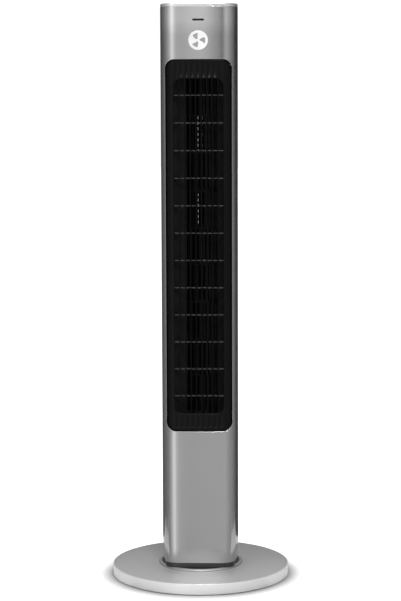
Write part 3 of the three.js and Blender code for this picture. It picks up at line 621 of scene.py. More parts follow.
def makeBallast():
    radius = base["radius"] - 12
    builder = bmesh.new()
    profile = [(12.5, 2.5), (radius, 2.5), (radius, 5.5), (12.5, 5.5)]
    addTurned(builder, softProfile(profile, {1: 0.6, 2: 0.6}, 3), base["steps"])
    piece = newPiece("ballastPlate", builder, finishes["zinc"], "base", ["ballast_plate"])
    cutter = bmesh.new()
    for turn in (270, 342, 54, 126, 198):
        x = base["footCircle"] * math.cos(math.radians(turn))
        y = base["footCircle"] * math.sin(math.radians(turn))
        addTurned(cutter, [(0, 0), (3.1, 0), (3.1, 9), (0, 9)], 20, (x, y))
    for turn in (90, 210, 330):
        x = base["screwCircle"] * math.cos(math.radians(turn))
        y = base["screwCircle"] * math.sin(math.radians(turn))
        addTurned(cutter, [(0, 0), (2.2, 0), (2.2, 9), (0, 9)], 20, (x, y))
    carve(piece, cutter)


def makeFeet():
    for number in range(1, 6):
        low, high = nodeBox(f"foot_{number}")
        x, y = (low.x + high.x) / 2, (low.y + high.y) / 2
        builder = bmesh.new()
        pad = [(0, 0.5), (4.2, 0.5), (5, 0), (9, 0), (9, base["footHeight"]), (0, base["footHeight"])]
        addTurned(builder, softProfile(pad, {2: 0.3, 3: 1.0, 4: 0.3}, 3), 40, (x, y))
        addTurned(builder, [(0, 1), (2.8, 1), (2.8, high.z), (0, high.z)], 20, (x, y))
        newPiece(f"foot{number}", builder, finishes["rubber"], "base", [f"foot_{number}"])


def crossRecess(cutter, x, z, top, depth, size, alongY):
    # the cross of a screwdriver recess, cut from the head's face as one closed shape
    arm = 0.45
    quarter = ((size, -arm), (size, arm), (arm, arm))
    cross = []
    for turn in range(4):
        c, s = ((1, 0), (0, 1), (-1, 0), (0, -1))[turn]
        cross += [(a * c - b * s, a * s + b * c) for a, b in quarter]
    if alongY:
        rings = [[(x + a, y, z + b) for a, b in cross] for y in (top - depth, top + 1)]
    else:
        rings = [[(x + a, z + b, y) for a, b in cross] for y in (top - 1, top + depth)]
    addRings(cutter, rings)


def makeBaseScrews():
    for number in range(1, 4):
        low, high = nodeBox(f"base_screw_{number}")
        x, y = (low.x + high.x) / 2, (low.y + high.y) / 2
        builder = bmesh.new()
        head = [(0, low.z), (4, low.z), (4, 2.2), (1.8, 2.2), (1.8, high.z), (0, high.z)]
        addTurned(builder, softProfile(head, {1: 0.7, 4: 0.5}, 3), 32, (x, y))
        piece = newPiece(f"baseScrew{number}", builder, finishes["bolt"], "base",
                         [f"base_screw_{number}"])
        cutter = bmesh.new()
        crossRecess(cutter, x, y, low.z, 0.9, 1.9, False)
        carve(piece, cutter)


def makeCollarRing():
    low, high = nodeBox("collar_ring")
    inner = nodeBox("neck")[1].x + 0.8
    outer = high.x
    profile = [(inner, low.z), (outer, low.z), (outer, low.z + 1.2), (outer - 1.4, high.z - 0.5),
               (outer - 3, high.z), (inner, high.z)]
    builder = bmesh.new()
    addTurned(builder, softProfile(profile, {1: 0.2, 2: 0.5, 3: 0.8, 4: 0.6, 5: 0.3}, 4), base["steps"])
    newPiece("collarRing", builder, finishes["trim"], "base", ["collar_ring"])


def makeCordGland():
    low, high = nodeBox("cord_gland")
    builder = bmesh.new()
    back, front = high.y, low.y
    profile = [(3.6, front), (7.2, front), (7.2, front + 3.4), (5.4, front + 3.4), (5.4, back - 1.6),
               (5.0, back), (3.6, back)]
    outline = softProfile(profile, {1: 0.4, 2: 0.4, 5: 0.6, 6: 0.4}, 3)
    addTurned(builder, outline, 40, (0, base["glandHeight"]), False)
    newPiece("cordGland", builder, finishes["rubber"], "base", ["cord_gland"])


makeBaseCover()
makeBaseRim()
makeBallast()
makeFeet()
makeBaseScrews()
makeCollarRing()
makeCordGland()
print("base laid out")


# ---------- neck ----------
neck = {"skirtInset": 2, "spigotInset": 4.6, "wall": 2.5, "turntable": 3, "centreHole": 20.3, "floor": 4}


def makeNeck():
    low, high = nodeBox("neck")
    deck = low.z + neck["turntable"]
    skirtTop = shellBottom - 0.3
    builder = bmesh.new()
    disc = [(neck["centreHole"], low.z), (high.x, low.z), (high.x, deck), (neck["centreHole"], deck)]
    addTurned(builder, softProfile(disc, {1: 0.3, 2: 0.9}, 4), base["steps"])
    inner = neck["spigotInset"] + neck["wall"]
    wall = [(neck["skirtInset"], deck - 0.1), (neck["skirtInset"], skirtTop), (neck["spigotInset"], skirtTop),
            (neck["spigotInset"], high.z), (inner, high.z), (inner, deck - 0.1)]
    addStack(builder, softProfile(wall, {1: 0.5, 3: 0.6}, 3), True)
    addTurned(builder, [(neck["centreHole"], deck - 0.1), (52, deck - 0.1), (52, deck + neck["floor"]),
                        (neck["centreHole"], deck + neck["floor"])], 96)
    for side in (-1, 1):
        bracketLow = nodeBox("oscillation_bracket")[0].z
        addTurned(builder, [(0, deck), (3.5, deck), (3.5, bracketLow - 0.3), (0, bracketLow - 0.3)], 24,
                  (side * 27, 41.25))
    newPiece("turningNeck", builder, finishes["satinBlack"], "tower", ["neck"])


makeNeck()
print("neck turned")


# ---------- shells ----------
signal = {"half": 10.1, "tall": 1.5, "gap": 0.3}
shells = {"edgeSoftness": 0.9, "seamSoftness": 0.45}


def openingColumns():
    bend = [openingHalf - opening["corner"] + opening["corner"] * math.sin(math.radians(a))
            for a in (0, 15, 30, 45, 60, 72, 82, 90)]
    flat = spread(-bend[0], bend[0], 14)
    return [-x for x in reversed(bend)] + flat[1:-1] + bend


def frontShellRow(z, inset):
    # left to right round the front of the casing at one height
    flare = casing["wallFlare"]
    small = casing["shoulderRadius"] - inset
    start = math.asin((openingHalf - shoulderX) / small)
    right = [(shoulderX + small * math.sin(a), shoulderY - small * math.cos(a))
             for a in spread(start, math.pi / 2 - flare, 9)[1:]]
    round_ = bodyRadius - inset
    wallEnd = (round_ * math.cos(flare), -round_ * math.sin(flare))
    wallStart = right[-1]
    right += [(wallStart[0] + (wallEnd[0] - wallStart[0]) * t, wallStart[1] + (wallEnd[1] - wallStart[1]) * t)
              for t in spread(0, 1, 5)[1:]]
    seamTurn = math.asin((seamAt(z) - casing["seamGap"] / 2) / round_)
    right += [(round_ * math.cos(t), round_ * math.sin(t)) for t in spread(-flare, seamTurn, 4)[1:]]
    middle = [(x, frontY(x, inset)) for x in openingColumns()]
    return [(-x, y) for x, y in reversed(right)] + middle + right


def makeFrontShell():
    middleCount = len(openingColumns())
    sideCount = (len(frontShellRow(shellTop, 0)) - middleCount) // 2
    below = [shellBottom + d for d in (0, 10, 20, 30, 40, 65, 95, 130)]
    below += [openingBottom - d for d in (75, 62, 50, 38, 25, 12)]
    middle = spread(openingBottom + opening["corner"], openingTop - opening["corner"], 26)[1:-1]
    above = [openingTop + d for d in (12, 28, 42, 56, 68, 74, 82)] + [shellTop]
    firstOpen, lastOpen = len(below), len(below) + len(middle) + 1
    rows = {}

    def heightAt(j, x):
        rise = cornerRise(min(abs(x), openingHalf), openingHalf, opening["corner"])
        if j < firstOpen:
            return below[j]
        if j == firstOpen:
            return openingBottom + rise
        if j < lastOpen:
            return middle[j - firstOpen - 1]
        if j == lastOpen:
            return openingTop - rise
        return above[j - lastOpen - 1]

    def place(i, j, skin):
        wall = casing["wall"] * skin
        reference = heightAt(j, openingHalf)
        key = (j, skin)
        if key not in rows:
            rows[key] = frontShellRow(reference, wall + taperAt(reference))
        x, y = rows[key][i]
        return (x, y, heightAt(j, x) if sideCount <= i < sideCount + middleCount else reference)

    def isOpen(i, j):
        return sideCount <= i < sideCount + middleCount - 1 and firstOpen <= j < lastOpen

    def edge(i, j):
        seam = shells["seamSoftness"] / shells["edgeSoftness"]
        return (1, 0.3) if isOpen(i, j) else (seam, 0.3)

    builder = bmesh.new()
    columns = 2 * sideCount + middleCount - 1
    addSlab(builder, columns, lastOpen + len(above), place, isOpen, edge)
    piece = newPiece("frontShell", builder, finishes["silver"], "tower", ["front_shell"])
    windowLow, windowHigh = nodeBox("signal_window")
    middleZ = (windowLow.z + windowHigh.z) / 2
    cutter = bmesh.new()
    tall = signal["tall"] + signal["gap"]
    slot = roundedRectangle(signal["half"] + signal["gap"], middleZ - tall, middleZ + tall, tall - 0.05, 6)
    addRings(cutter, [[(x, -frontReach - 5, z) for x, z in slot], [(x, -frontReach + 8, z) for x, z in slot]])
    carve(piece, cutter)
    softenEdges(piece, shells["edgeSoftness"], 3, True)


carry = {"halfWidth": 42, "corner": 7, "drop": 14, "height": 36, "floorY": bodyRadius - 32, "wall": 2.2}
carryLow = openingTop + carry["drop"]
carryHigh = carryLow + carry["height"]
intake = {"halfAngle": math.radians(58), "border": 10}
intakeLow = openingBottom + intake["border"]
intakeHigh = openingTop - intake["border"]


def carryColumns():
    bend = [carry["halfWidth"] - carry["corner"] + carry["corner"] * math.sin(math.radians(a))
            for a in (0, 20, 40, 60, 76, 90)]
    flat = spread(-bend[0], bend[0], 16)
    return [-x for x in reversed(bend)] + flat[1:-1] + bend


def rearShellRow(z, inset):
    # right to left round the back of the casing at one height
    round_ = bodyRadius - inset
    seamTurn = math.asin((seamAt(z) + casing["seamGap"] / 2) / round_)
    intakeEdge = math.pi / 2 - intake["halfAngle"]
    carryEdge = math.acos(carry["halfWidth"] / round_)
    turns = spread(seamTurn, intakeEdge, 10) + spread(intakeEdge, carryEdge, 6)[1:-1]
    right = [(round_ * math.cos(t), round_ * math.sin(t)) for t in turns]
    middle = [(-x, math.sqrt(round_ ** 2 - x * x)) for x in carryColumns()]
    return right + middle + [(-x, y) for x, y in reversed(right)]


def makeRearShell():
    middleCount = len(carryColumns())
    sideCount = (len(rearShellRow(shellTop, 0)) - middleCount) // 2
    intakeFirst = 10
    below = [shellBottom + d for d in (0, 10, 20, 30, 40, 70, 110)]
    below += [openingBottom - d for d in (75, 62, 50, 38, 25, 8)]
    rowsBelow = below + [intakeLow]
    rowsMiddle = spread(intakeLow, intakeHigh, 26)[1:-1]
    rowsUpper = [intakeHigh, intakeHigh + 12, carryLow - 4]
    recessFirst = len(rowsBelow) + len(rowsMiddle) + len(rowsUpper)
    recessMiddle = spread(carryLow + carry["corner"], carryHigh - carry["corner"], 3)[1:-1]
    above = [carryHigh + 6, carryHigh + 20, shellTop - 12, shellTop]
    intakeRows = (len(below), len(rowsBelow) + len(rowsMiddle))
    fixed = rowsBelow + rowsMiddle + rowsUpper
    recessLast = recessFirst + len(recessMiddle) + 1
    rows = {}

    def heightAt(j, x):
        rise = cornerRise(min(abs(x), carry["halfWidth"]), carry["halfWidth"], carry["corner"])
        if j < recessFirst:
            return fixed[j]
        if j == recessFirst:
            return carryLow + rise
        if j < recessLast:
            return recessMiddle[j - recessFirst - 1]
        if j == recessLast:
            return carryHigh - rise
        return above[j - recessLast - 1]

    def place(i, j, skin):
        wall = casing["wall"] * skin
        reference = heightAt(j, carry["halfWidth"])
        key = (j, skin)
        if key not in rows:
            rows[key] = rearShellRow(reference, wall + taperAt(reference))
        x, y = rows[key][i]
        return (x, y, heightAt(j, x) if sideCount <= i < sideCount + middleCount else reference)

    def isOpen(i, j):
        total = 2 * sideCount + middleCount - 1
        inIntake = intakeFirst <= i < total - intakeFirst and intakeRows[0] <= j < intakeRows[1]
        inRecess = sideCount <= i < sideCount + middleCount - 1 and recessFirst <= j < recessLast
        return inIntake or inRecess

    def edge(i, j):
        inside = isOpen(i, j)
        return (1, 0.1) if inside and j >= recessFirst else (0.5, 0.3)

    builder = bmesh.new()
    addSlab(builder, 2 * sideCount + middleCount - 1, recessLast + len(above), place, isOpen, edge)
    piece = newPiece("rearShell", builder, finishes["charcoal"], "tower", ["rear_shell"])
    cutter = bmesh.new()
    for number in range(1, 5):
        low, high = nodeBox(f"case_screw_{number}")
        x, z = (low.x + high.x) / 2, (low.z + high.z) / 2
        addTurned(cutter, [(0, high.y - 2), (3.7, high.y - 2), (3.7, 60), (0, 60)], 28, (x, z), False)
    carve(piece, cutter)
    softenEdges(piece, 0.9, 3, True)
    makeCarryPocket()


def makeCarryPocket():
    # the moulded pocket behind the recess's mouth
    mouth = roundedRectangle(carry["halfWidth"], carryLow, carryHigh, carry["corner"], 6)
    midZ = (carryLow + carryHigh) / 2
    floor = carry["floorY"]
    wall = carry["wall"]

    def ring(grow, y):
        points = []
        for x, z in mouth:
            shrinkX = (carry["halfWidth"] + grow) / carry["halfWidth"]
            shrinkZ = (carry["height"] / 2 + grow) / (carry["height"] / 2)
            back = math.sqrt((bodyRadius - casing["wall"]) ** 2 - (x * shrinkX) ** 2)
            points.append((x * shrinkX, back if y is None else y, midZ + (z - midZ) * shrinkZ))
        return points

    inside = [ring(0, None), ring(0, floor + 5), ring(-0.4, floor + 2.4), ring(-1.4, floor + 0.9),
              ring(-3, floor + 0.2), ring(-6, floor)]
    outside = [ring(-6, floor - wall), ring(-3, floor - wall), ring(0, floor - wall), ring(wall, floor + 1),
               ring(wall, None)]
    builder = bmesh.new()
    lines = [[builder.verts.new(p) for p in points] for points in inside + outside]
    count = len(mouth)
    for r in range(len(lines)):
        a, b = lines[r], lines[(r + 1) % len(lines)]
        if r == len(inside) - 1:
            continue
        for n in range(count):
            m = (n + 1) % count
            builder.faces.new([a[n], a[m], b[m], b[n]])
    builder.faces.new(lines[len(inside) - 1])
    builder.faces.new(list(reversed(lines[len(inside)])))
    newPiece("carryPocket", builder, finishes["charcoal"], "tower", ())


def makeCaseScrews():
    for number in range(1, 5):
        low, high = nodeBox(f"case_screw_{number}")
        x, z = (low.x + high.x) / 2, (low.z + high.z) / 2
        builder = bmesh.new()
        back = high.y
        head = [(0, low.y), (1.65, low.y), (1.65, back - 2.4), (3.3, back - 2.4), (3.3, back), (0, back)]
        addTurned(builder, softProfile(head, {1: 0.8, 4: 1.0}, 4), 32, (x, z), False)
        piece = newPiece(f"caseScrew{number}", builder, finishes["bolt"], "tower",
                         [f"case_screw_{number}"])
        cutter = bmesh.new()
        crossRecess(cutter, x, z, back, 1.1, 1.7, True)
        carve(piece, cutter)


makeFrontShell()
makeRearShell()
makeCaseScrews()
print("shells closed")


# ---------- intake grille ----------
intakeGrille = {"slotPitch": 10, "slotHeight": 5.4, "middleBar": 3, "slotEdge": 6, "margin": 0.4,
                "thinBars": (17.6, 35.2), "thinBar": 1.8, "thickness": 2.5}


def makeRearGrille():
    look = intakeGrille
    edgeAngle = intake["halfAngle"] - look["margin"] / bodyRadius
    slotEnd = bodyRadius * math.sin(intake["halfAngle"]) - look["slotEdge"]
    bars = [look["middleBar"] / 2]
    for x in look["thinBars"]:
        bars += [x - look["thinBar"] / 2, x + look["thinBar"] / 2]
    bars.append(slotEnd)
    angles = [math.asin(x / bodyRadius) for x in bars]
    half = [angles[0]]
    openCells = []
    for n in range(len(angles) - 1):
        pieces = spread(angles[n], angles[n + 1], 5 if n % 2 == 0 else 1)[1:]
        if n % 2 == 0:
            openCells += list(range(len(half) - 1, len(half) - 1 + len(pieces)))
        half += pieces
    half += spread(angles[-1], edgeAngle, 3)[1:]
    count = len(half)
    turns = [-a for a in reversed(half)] + half
    openColumns = {count + n for n in openCells} | {count - 2 - n for n in openCells}
    low, high = intakeLow + look["margin"], intakeHigh - look["margin"]
    rowCount = int((intakeHigh - intakeLow - 12) // look["slotPitch"])
    first = (intakeLow + intakeHigh) / 2 - (rowCount - 1) * look["slotPitch"] / 2
    heights = [low]
    for row in range(rowCount):
        z = first + row * look["slotPitch"]
        heights += [z - look["slotHeight"] / 2, z + look["slotHeight"] / 2]
    heights.append(high)

    def place(i, j, skin):
        radius = bodyRadius - look["thickness"] * skin
        return (radius * math.sin(turns[i]), radius * math.cos(turns[i]), heights[j])

    def isOpen(i, j):
        return i in openColumns and j % 2 == 1 and 0 < j < len(heights) - 1

    builder = bmesh.new()
    addSlab(builder, len(turns) - 1, len(heights) - 1, place, isOpen)
    piece = newPiece("rearGrille", builder, finishes["black"], "tower", ["rear_grille"])
    softenEdges(piece, 0.6, 2, True)


makeRearGrille()
print("intake grille slotted")


# ---------- outlet grille ----------
outletGrille = {
    "plate": 2.5,
    "lip": 2.1,
    "edge": 0.9,
    "ribPitch": 9.65,
    "ribCount": 8,
    "ribWidth": 2.4,
    "ribDepth": 4.2,
    "fluteDepth": 0.9,
    "fluteEnds": (2.5, 5, 2.5, 3),
}


def ribPlaces():
    middle = (outletGrille["ribCount"] - 1) / 2
    return [(n - middle) * outletGrille["ribPitch"] for n in range(outletGrille["ribCount"])]


def fluteAt(x, z):
    look = outletGrille
    low, high = panelLow.z, panelHigh.z
    spans = ((low + look["fluteEnds"][1], outletBottom - look["fluteEnds"][0]),
             (outletTop + look["fluteEnds"][2], high - look["fluteEnds"][3]))
    edges = [-outletHalf] + ribPlaces() + [outletHalf]
    for bottom, top in spans:
        if not bottom < z < top:
            continue
        run = min(min(z - bottom, top - z) / 1.2, 1)
        for left, right in zip(edges, edges[1:]):
            a, b = left + look["ribWidth"] / 2, right - look["ribWidth"] / 2
            if a < x < b:
                return look["fluteDepth"] * run * math.sin(math.pi * (x - a) / (b - a)) ** 0.7
    return 0


def lipAt(x, z):
    # the outlet's rolled lip and the panel's softened outer edge
    look = outletGrille
    offset = 0
    away = -insideRoundedRectangle(x, z, outletHalf, outletBottom, outletTop, opening["outletCorner"])
    if away < look["lip"]:
        offset += look["lip"] - math.sqrt(max(look["lip"] ** 2 - (look["lip"] - max(away, 0)) ** 2, 0))
    corner = opening["corner"] - opening["seam"]
    inside = insideRoundedRectangle(x, z, panelHigh.x, panelLow.z, panelHigh.z, corner)
    if inside < look["edge"]:
        offset += look["edge"] - math.sqrt(max(look["edge"] ** 2 - (look["edge"] - max(inside, 0)) ** 2, 0))
    return offset


def panelColumns():
    outerCorner = opening["corner"] - opening["seam"]
    holeCorner = opening["outletCorner"]
    marks = set()
    for a in (0, 15, 30, 45, 60, 75, 90):
        marks.add(round(outletHalf - holeCorner + holeCorner * math.sin(math.radians(a)), 4))
        marks.add(round(panelHigh.x - outerCorner + outerCorner * math.sin(math.radians(a)), 4))
    for d in (0.15, 0.5, 1.0, 1.6, outletGrille["lip"]):
        marks.add(round(outletHalf + d, 4))
    for d in (0.1, 0.35, outletGrille["edge"]):
        marks.add(round(panelHigh.x - d, 4))
    edges = [0] + [x for x in ribPlaces() if x > 0] + [outletHalf]
    for left, right in zip(edges, edges[1:]):
        a = 0 if left == 0 else left + outletGrille["ribWidth"] / 2
        b = right - outletGrille["ribWidth"] / 2
        for t in ((0, 0.08, 0.22, 0.4, 0.6, 0.78, 0.92, 1) if left else (0, 0.2, 0.5, 0.8, 1)):
            marks.add(round(a + (b - a) * t, 4))
    right = sorted(marks)
    cleaned = [right[0]]
    for x in right[1:]:
        if x - cleaned[-1] > 0.06 or x == round(outletHalf, 4):
            cleaned.append(x)
    return [-x for x in reversed(cleaned[1:])] + cleaned


def makeFrontGrille():
    look = outletGrille
    xs = panelColumns()
    outerCorner = opening["corner"] - opening["seam"]
    holeEdge = round(outletHalf, 4)
    firstHole, lastHole = xs.index(-holeEdge), xs.index(holeEdge)
    lowShares = (0, 0.1, 0.35, 0.9, 2, 5, 5.6, 6.2)
    highStart = outletTop + look["fluteEnds"][2]
    middle = spread(outletBottom + opening["outletCorner"], outletTop - opening["outletCorner"], 30)[1:-1]

    def bottomRows(x):
        start = panelLow.z + cornerRise(x, panelHigh.x, outerCorner)
        stop = outletBottom + cornerRise(min(abs(x), outletHalf), outletHalf, opening["outletCorner"])
        rows = [start + d for d in lowShares]
        tail = [stop - d for d in (2.6, look["lip"], 1.6, 1.0, 0.5, 0.15, 0)]
        flat = outletBottom - look["fluteEnds"][0]
        shoulder = [max(flat - 1.2, rows[-1] + 0.3), max(flat, rows[-1] + 0.6)]
        if shoulder[1] >= tail[0] - 0.1:
            shoulder = [rows[-1] + (tail[0] - rows[-1]) * t for t in (0.35, 0.7)]
        return rows + shoulder + tail

    def topRows(x):
        stop = panelHigh.z - cornerRise(x, panelHigh.x, outerCorner)
        start = outletTop - cornerRise(min(abs(x), outletHalf), outletHalf, opening["outletCorner"])
        head = [start + d for d in (0, 0.15, 0.5, 1.0, 1.6, look["lip"], 2.6)]
        tail = [stop - d for d in (4.2, 3, 2, 0.9, 0.35, 0.1, 0)]
        flat = highStart + 1.2
        shoulder = flat if head[-1] + 0.1 < flat < tail[0] - 0.1 else (head[-1] + tail[0]) / 2
        return head + [shoulder] + tail

    bottomCount = len(bottomRows(0))
    firstOpen, lastOpen = bottomCount - 1, bottomCount + len(middle)
    columnRows = []
    for x in xs:
        columnRows.append(bottomRows(x) + middle + topRows(x))

    def place(i, j, skin):
        x, z = xs[i], columnRows[i][j]
        inset = panelInset + (look["plate"] if skin else fluteAt(x, z) + lipAt(x, z))
        return (x, frontY(x, inset), z)

    def isOpen(i, j):
        return firstHole <= i < lastHole and firstOpen <= j < lastOpen

    builder = bmesh.new()
    addSlab(builder, len(xs) - 1, len(columnRows[0]) - 1, place, isOpen, lambda i, j: (0, 0.4))
    front = panelInset
    for x in ribPlaces():
        half = look["ribWidth"] / 2
        nose = frontY(x, front) + 0.04
        back = frontY(x, front + look["ribDepth"])
        flank = ((1, back), (1, nose + 3), (0.72, nose + 0.9), (0.4, nose + 0.15))
        outline = [(x - half * share, y) for share, y in flank] + [(x, nose)]
        outline += [(x + half * share, y) for share, y in reversed(flank)]
        addPrism(builder, outline, outletBottom - 2.8, outletTop + 2.8)
    piece = newPiece("outletGrille", builder, finishes["black"], "tower",
                     ["front_grille"], 60)
    softenEdges(piece, 0.5, 2, True)


vanes = {"pitch": 48.6, "thickness": 1.6, "sideStrip": 2, "sideGap": 1.2}


def makeVaneRack():
    low, high = nodeBox("vane_rack")
    front, back = low.y, high.y
    side = outletHalf + vanes["sideGap"]
    count = int((outletTop - outletBottom) // vanes["pitch"])
    middle = (outletBottom + outletTop) / 2 + 0.9
    half = vanes["thickness"] / 2
    builder = bmesh.new()
    for hand in (-1, 1):
        left, right = sorted((hand * side, hand * (side + vanes["sideStrip"])))
        addBox(builder, left, right, front, back, low.z, high.z)
    for n in range(count):
        z = middle + (n - (count - 1) / 2) * vanes["pitch"]
        blade = [(front, z), (front + 0.25, z + half * 0.7), (front + 1, z + half), (back - 3, z + half),
                 (back, z + 0.35), (back, z - 0.35), (back - 3, z - half), (front + 1, z - half),
                 (front + 0.25, z - half * 0.7)]
        addRings(builder, [[(x, y, h) for y, h in blade] for x in (-side - 1, side + 1)])
        for hand in (-1, 1):  # the pins that hold each vane in its side strip
            x = hand * (side - 0.6)
            rings = [[(x + hand * d, front + 6 + 1.6 * math.cos(t), z + 1.6 * math.sin(t))
                      for t in spread(0, 2 * math.pi, 14)[:-1]] for d in (-0.5, 1.2)]
            addRings(builder, rings)
    piece = newPiece("vaneRack", builder, finishes["vane"], "tower", ["vane_rack"])
    softenEdges(piece, 0.25, 2)


makeFrontGrille()
makeVaneRack()
print("outlet grille ribbed")


# ---------- duct ----------
duct = {
    "wall": 2, "clearance": 4.5, "throatHalf": 27.3,
    "guideEnd": math.radians(40), "tongueEnd": math.radians(-155),
}


def makeDuct():
    impellerRadius = (impellerBox[1].x - impellerBox[0].x) / 2
    inner = impellerRadius + duct["clearance"]
    outer = inner + duct["wall"]
    for node, hand, end in (("duct_guide", 1, duct["guideEnd"]), ("duct_tongue", -1, duct["tongueEnd"])):
        low, high = nodeBox(node)
        start = -math.pi / 2 + hand * math.asin(duct["throatHalf"] / inner)
        outerStart = -math.pi / 2 + hand * (math.asin(duct["throatHalf"] / outer) + 0.12)
        outline = [(hand * (outletHalf + 1.2), low.y)]
        outline += arcPoints(axisX, axisY, inner, start, end, 40)
        outline += arcPoints(axisX, axisY, outer, end, outerStart, 40)
        outline.append((hand * (outletHalf + 1.2 + duct["wall"]), low.y))
        builder = bmesh.new()
        addPrism(builder, outline, low.z, high.z)
        name = "ductGuide" if hand > 0 else "ductTongue"
        newPiece(name, builder, finishes["ductBlack"], "tower", [node], 30)


makeDuct()
print("duct walls bent")


# ---------- impeller ----------
rotor = {
    "discThickness": 2,
    "bladesPerCell": 34,
    "cells": 3,
    "bladeOuter": 0.985,
    "bladeInner": 0.84,
    "bladeThickness": 0.8,
    "bladeBow": 2.2,
    "lean": math.radians(7),
    # degrees by which the blades of each cell are turned, from the bottom of a section to its top
    "cellTurns": {
        "impeller_lower": (2, 7.9, 2.6),
        "impeller_middle": (7.6, 2, 6.42),
        "impeller_upper": (8, 6.38, 2.5),
    },
}


def bladeOutline(outer, inner, turn):
    # one curved blade in plan, thicker in the middle
    a = Vector((outer * math.cos(turn), outer * math.sin(turn)))
    b = Vector((inner * math.cos(turn - rotor["lean"]), inner * math.sin(turn - rotor["lean"])))
    across = Vector((-(b - a).y, (b - a).x)).normalized()
    face, back = [], []
    for k in range(6):
        t = k / 5
        bow = rotor["bladeBow"] * 4 * t * (1 - t)
        thick = rotor["bladeThickness"] * (0.35 + 0.65 * math.sin(math.pi * min(max(t, 0.06), 0.94))) / 2
        middle = a.lerp(b, t) + across * bow
        face.append(middle + across * thick)
        back.append(middle - across * thick)
    return [(axisX + p.x, axisY + p.y) for p in face + back[::-1]]


def makeImpeller():
    for node, cellTurns in rotor["cellTurns"].items():
        low, high = nodeBox(node)
        radius = (high.x - low.x) / 2
        thick = rotor["discThickness"]
        builder = bmesh.new()
        heights = [low.z + (high.z - low.z - thick) * c / rotor["cells"] for c in range(rotor["cells"] + 1)]
        for z in heights:
            rim = [(5, z), (radius, z), (radius, z + thick), (5, z + thick)]
            addTurned(builder, softProfile(rim, {1: 0.4, 2: 0.4}, 2), 72, (axisX, axisY))
        for cell, shift in enumerate(cellTurns):
            for n in range(rotor["bladesPerCell"]):
                turn = math.radians(shift) + 2 * math.pi * n / rotor["bladesPerCell"]
                outline = bladeOutline(radius * rotor["bladeOuter"], radius * rotor["bladeInner"], turn)
                addPrism(builder, outline, heights[cell] + thick - 0.2, heights[cell + 1] + 0.2)
        name = "impeller" + node.split("_")[1].capitalize()
        newPiece(name, builder, finishes["deepBlack"], "rotor", [node], 30)


makeImpeller()
print("impeller bladed")


# ---------- top ----------
top = {"inset": 0.2, "round": 1.3, "wellInset": 8, "ledgeInset": 11, "panelGap": 0.3,
       "buttonRadius": 6, "buttonDish": 0.35, "skirtInset": 2.9, "skirtWall": 2}


badge = {"radius": 17, "bladeReach": 12.5, "bladeRoot": 2.6}


def makeTopCap():
    low, high = nodeBox("top_cap")
    ledge = shellTop + 0.3
    profile = [(top["inset"], ledge), (top["inset"], high.z), (top["wellInset"], high.z),
               (top["wellInset"], ledge), (top["ledgeInset"], ledge), (top["ledgeInset"], ledge - 2.5),
               (top["skirtInset"] + top["skirtWall"], ledge - 2.5),
               (top["skirtInset"] + top["skirtWall"], low.z),
               (top["skirtInset"], low.z), (top["skirtInset"], ledge)]
    builder = bmesh.new()
    soft = softProfile(profile, {0: 0.3, 1: top["round"], 2: 0.7}, 5)
    addStack(builder, soft, True)
    newPiece("topCap", builder, finishes["cap"], "tower", ["top_cap"])


def makeControlPanel():
    low, high = nodeBox("control_panel")
    inset = top["wellInset"] + top["panelGap"]
    plateLow = shellTop + 0.6
    builder = bmesh.new()
    profile = [(inset, plateLow), (inset, high.z - 0.5), (inset + 0.15, high.z - 0.15), (inset + 0.5, high.z)]
    addStack(builder, profile)
    for x, y in ((-36, 30), (36, 30), (-36, -32), (36, -32)):
        addTurned(builder, [(0, low.z), (2.5, low.z), (2.5, plateLow + 0.5), (0, plateLow + 0.5)], 20, (x, y))
    piece = newPiece("controlPanel", builder, finishes["gloss"], "tower", ["control_panel"])
    cutter = bmesh.new()
    for node in ("power_button", "speed_button", "timer_button", "swing_button"):
        a, b = nodeBox(node)
        centre = ((a.x + b.x) / 2, (a.y + b.y) / 2)
        hole = top["buttonRadius"] + 0.4
        bore = [(0, plateLow - 5), (hole, plateLow - 5), (hole, high.z + 5), (0, high.z + 5)]
        addTurned(cutter, bore, 48, centre)
    carve(piece, cutter)
    softenEdges(piece, 0.2, 2)


def makeButtons():
    for node, body in (("power_button", "power_key"), ("speed_button", "speed_key"),
                       ("timer_button", "timer_key"), ("swing_button", "swing_key")):
        low, high = nodeBox(node)
        centre = ((low.x + high.x) / 2, (low.y + high.y) / 2)
        radius, dish = top["buttonRadius"], top["buttonDish"]
        flangeTop = shellTop - 0.1
        profile = [(0, low.z), (1.5, low.z), (1.5, flangeTop - 1.6), (radius + 1.4, flangeTop - 1.6),
                   (radius + 1.4, flangeTop), (radius, flangeTop), (radius, high.z - 0.6),
                   (radius - 0.2, high.z - 0.15),
                   (radius - 0.7, high.z), (radius - 1.3, high.z - 0.08), (radius * 0.6, high.z - dish * 0.7),
                   (radius * 0.3, high.z - dish * 0.95), (0, high.z - dish)]
        builder = bmesh.new()
        addTurned(builder, profile, 56, centre)
        name = node.split("_")[0] + "Button"
        newPiece(name, builder, finishes["button"], body, [node], 45)


def makeSignalWindow():
    low, high = nodeBox("signal_window")
    middle = (low.z + high.z) / 2
    half = signal["half"]
    tall = signal["tall"]
    shape = roundedRectangle(half, middle - tall, middle + tall, tall - 0.02, 8)
    builder = bmesh.new()
    rings = []
    for shrink, inset in ((0.5, 0.4), (0.2, 0.5), (0, 0.8), (0, 3.6)):
        ring = []
        for x, z in shape:
            sx = x * (half - shrink) / half
            sz = middle + (z - middle) * (tall - shrink) / tall
            ring.append((sx, frontY(sx, inset), sz))
        rings.append(ring)
    addRings(builder, rings)
    xs = spread(-half - 2.9, half + 2.9, 12)
    heights = (middle - 3.4, middle + 3.4)
    addSlab(builder, 12, 1, lambda i, j, skin: (xs[i], frontY(xs[i], 2.8 + 1.2 * skin), heights[j]))
    newPiece("signalWindow", builder, finishes["gloss"], "tower", ["signal_window"], 40)


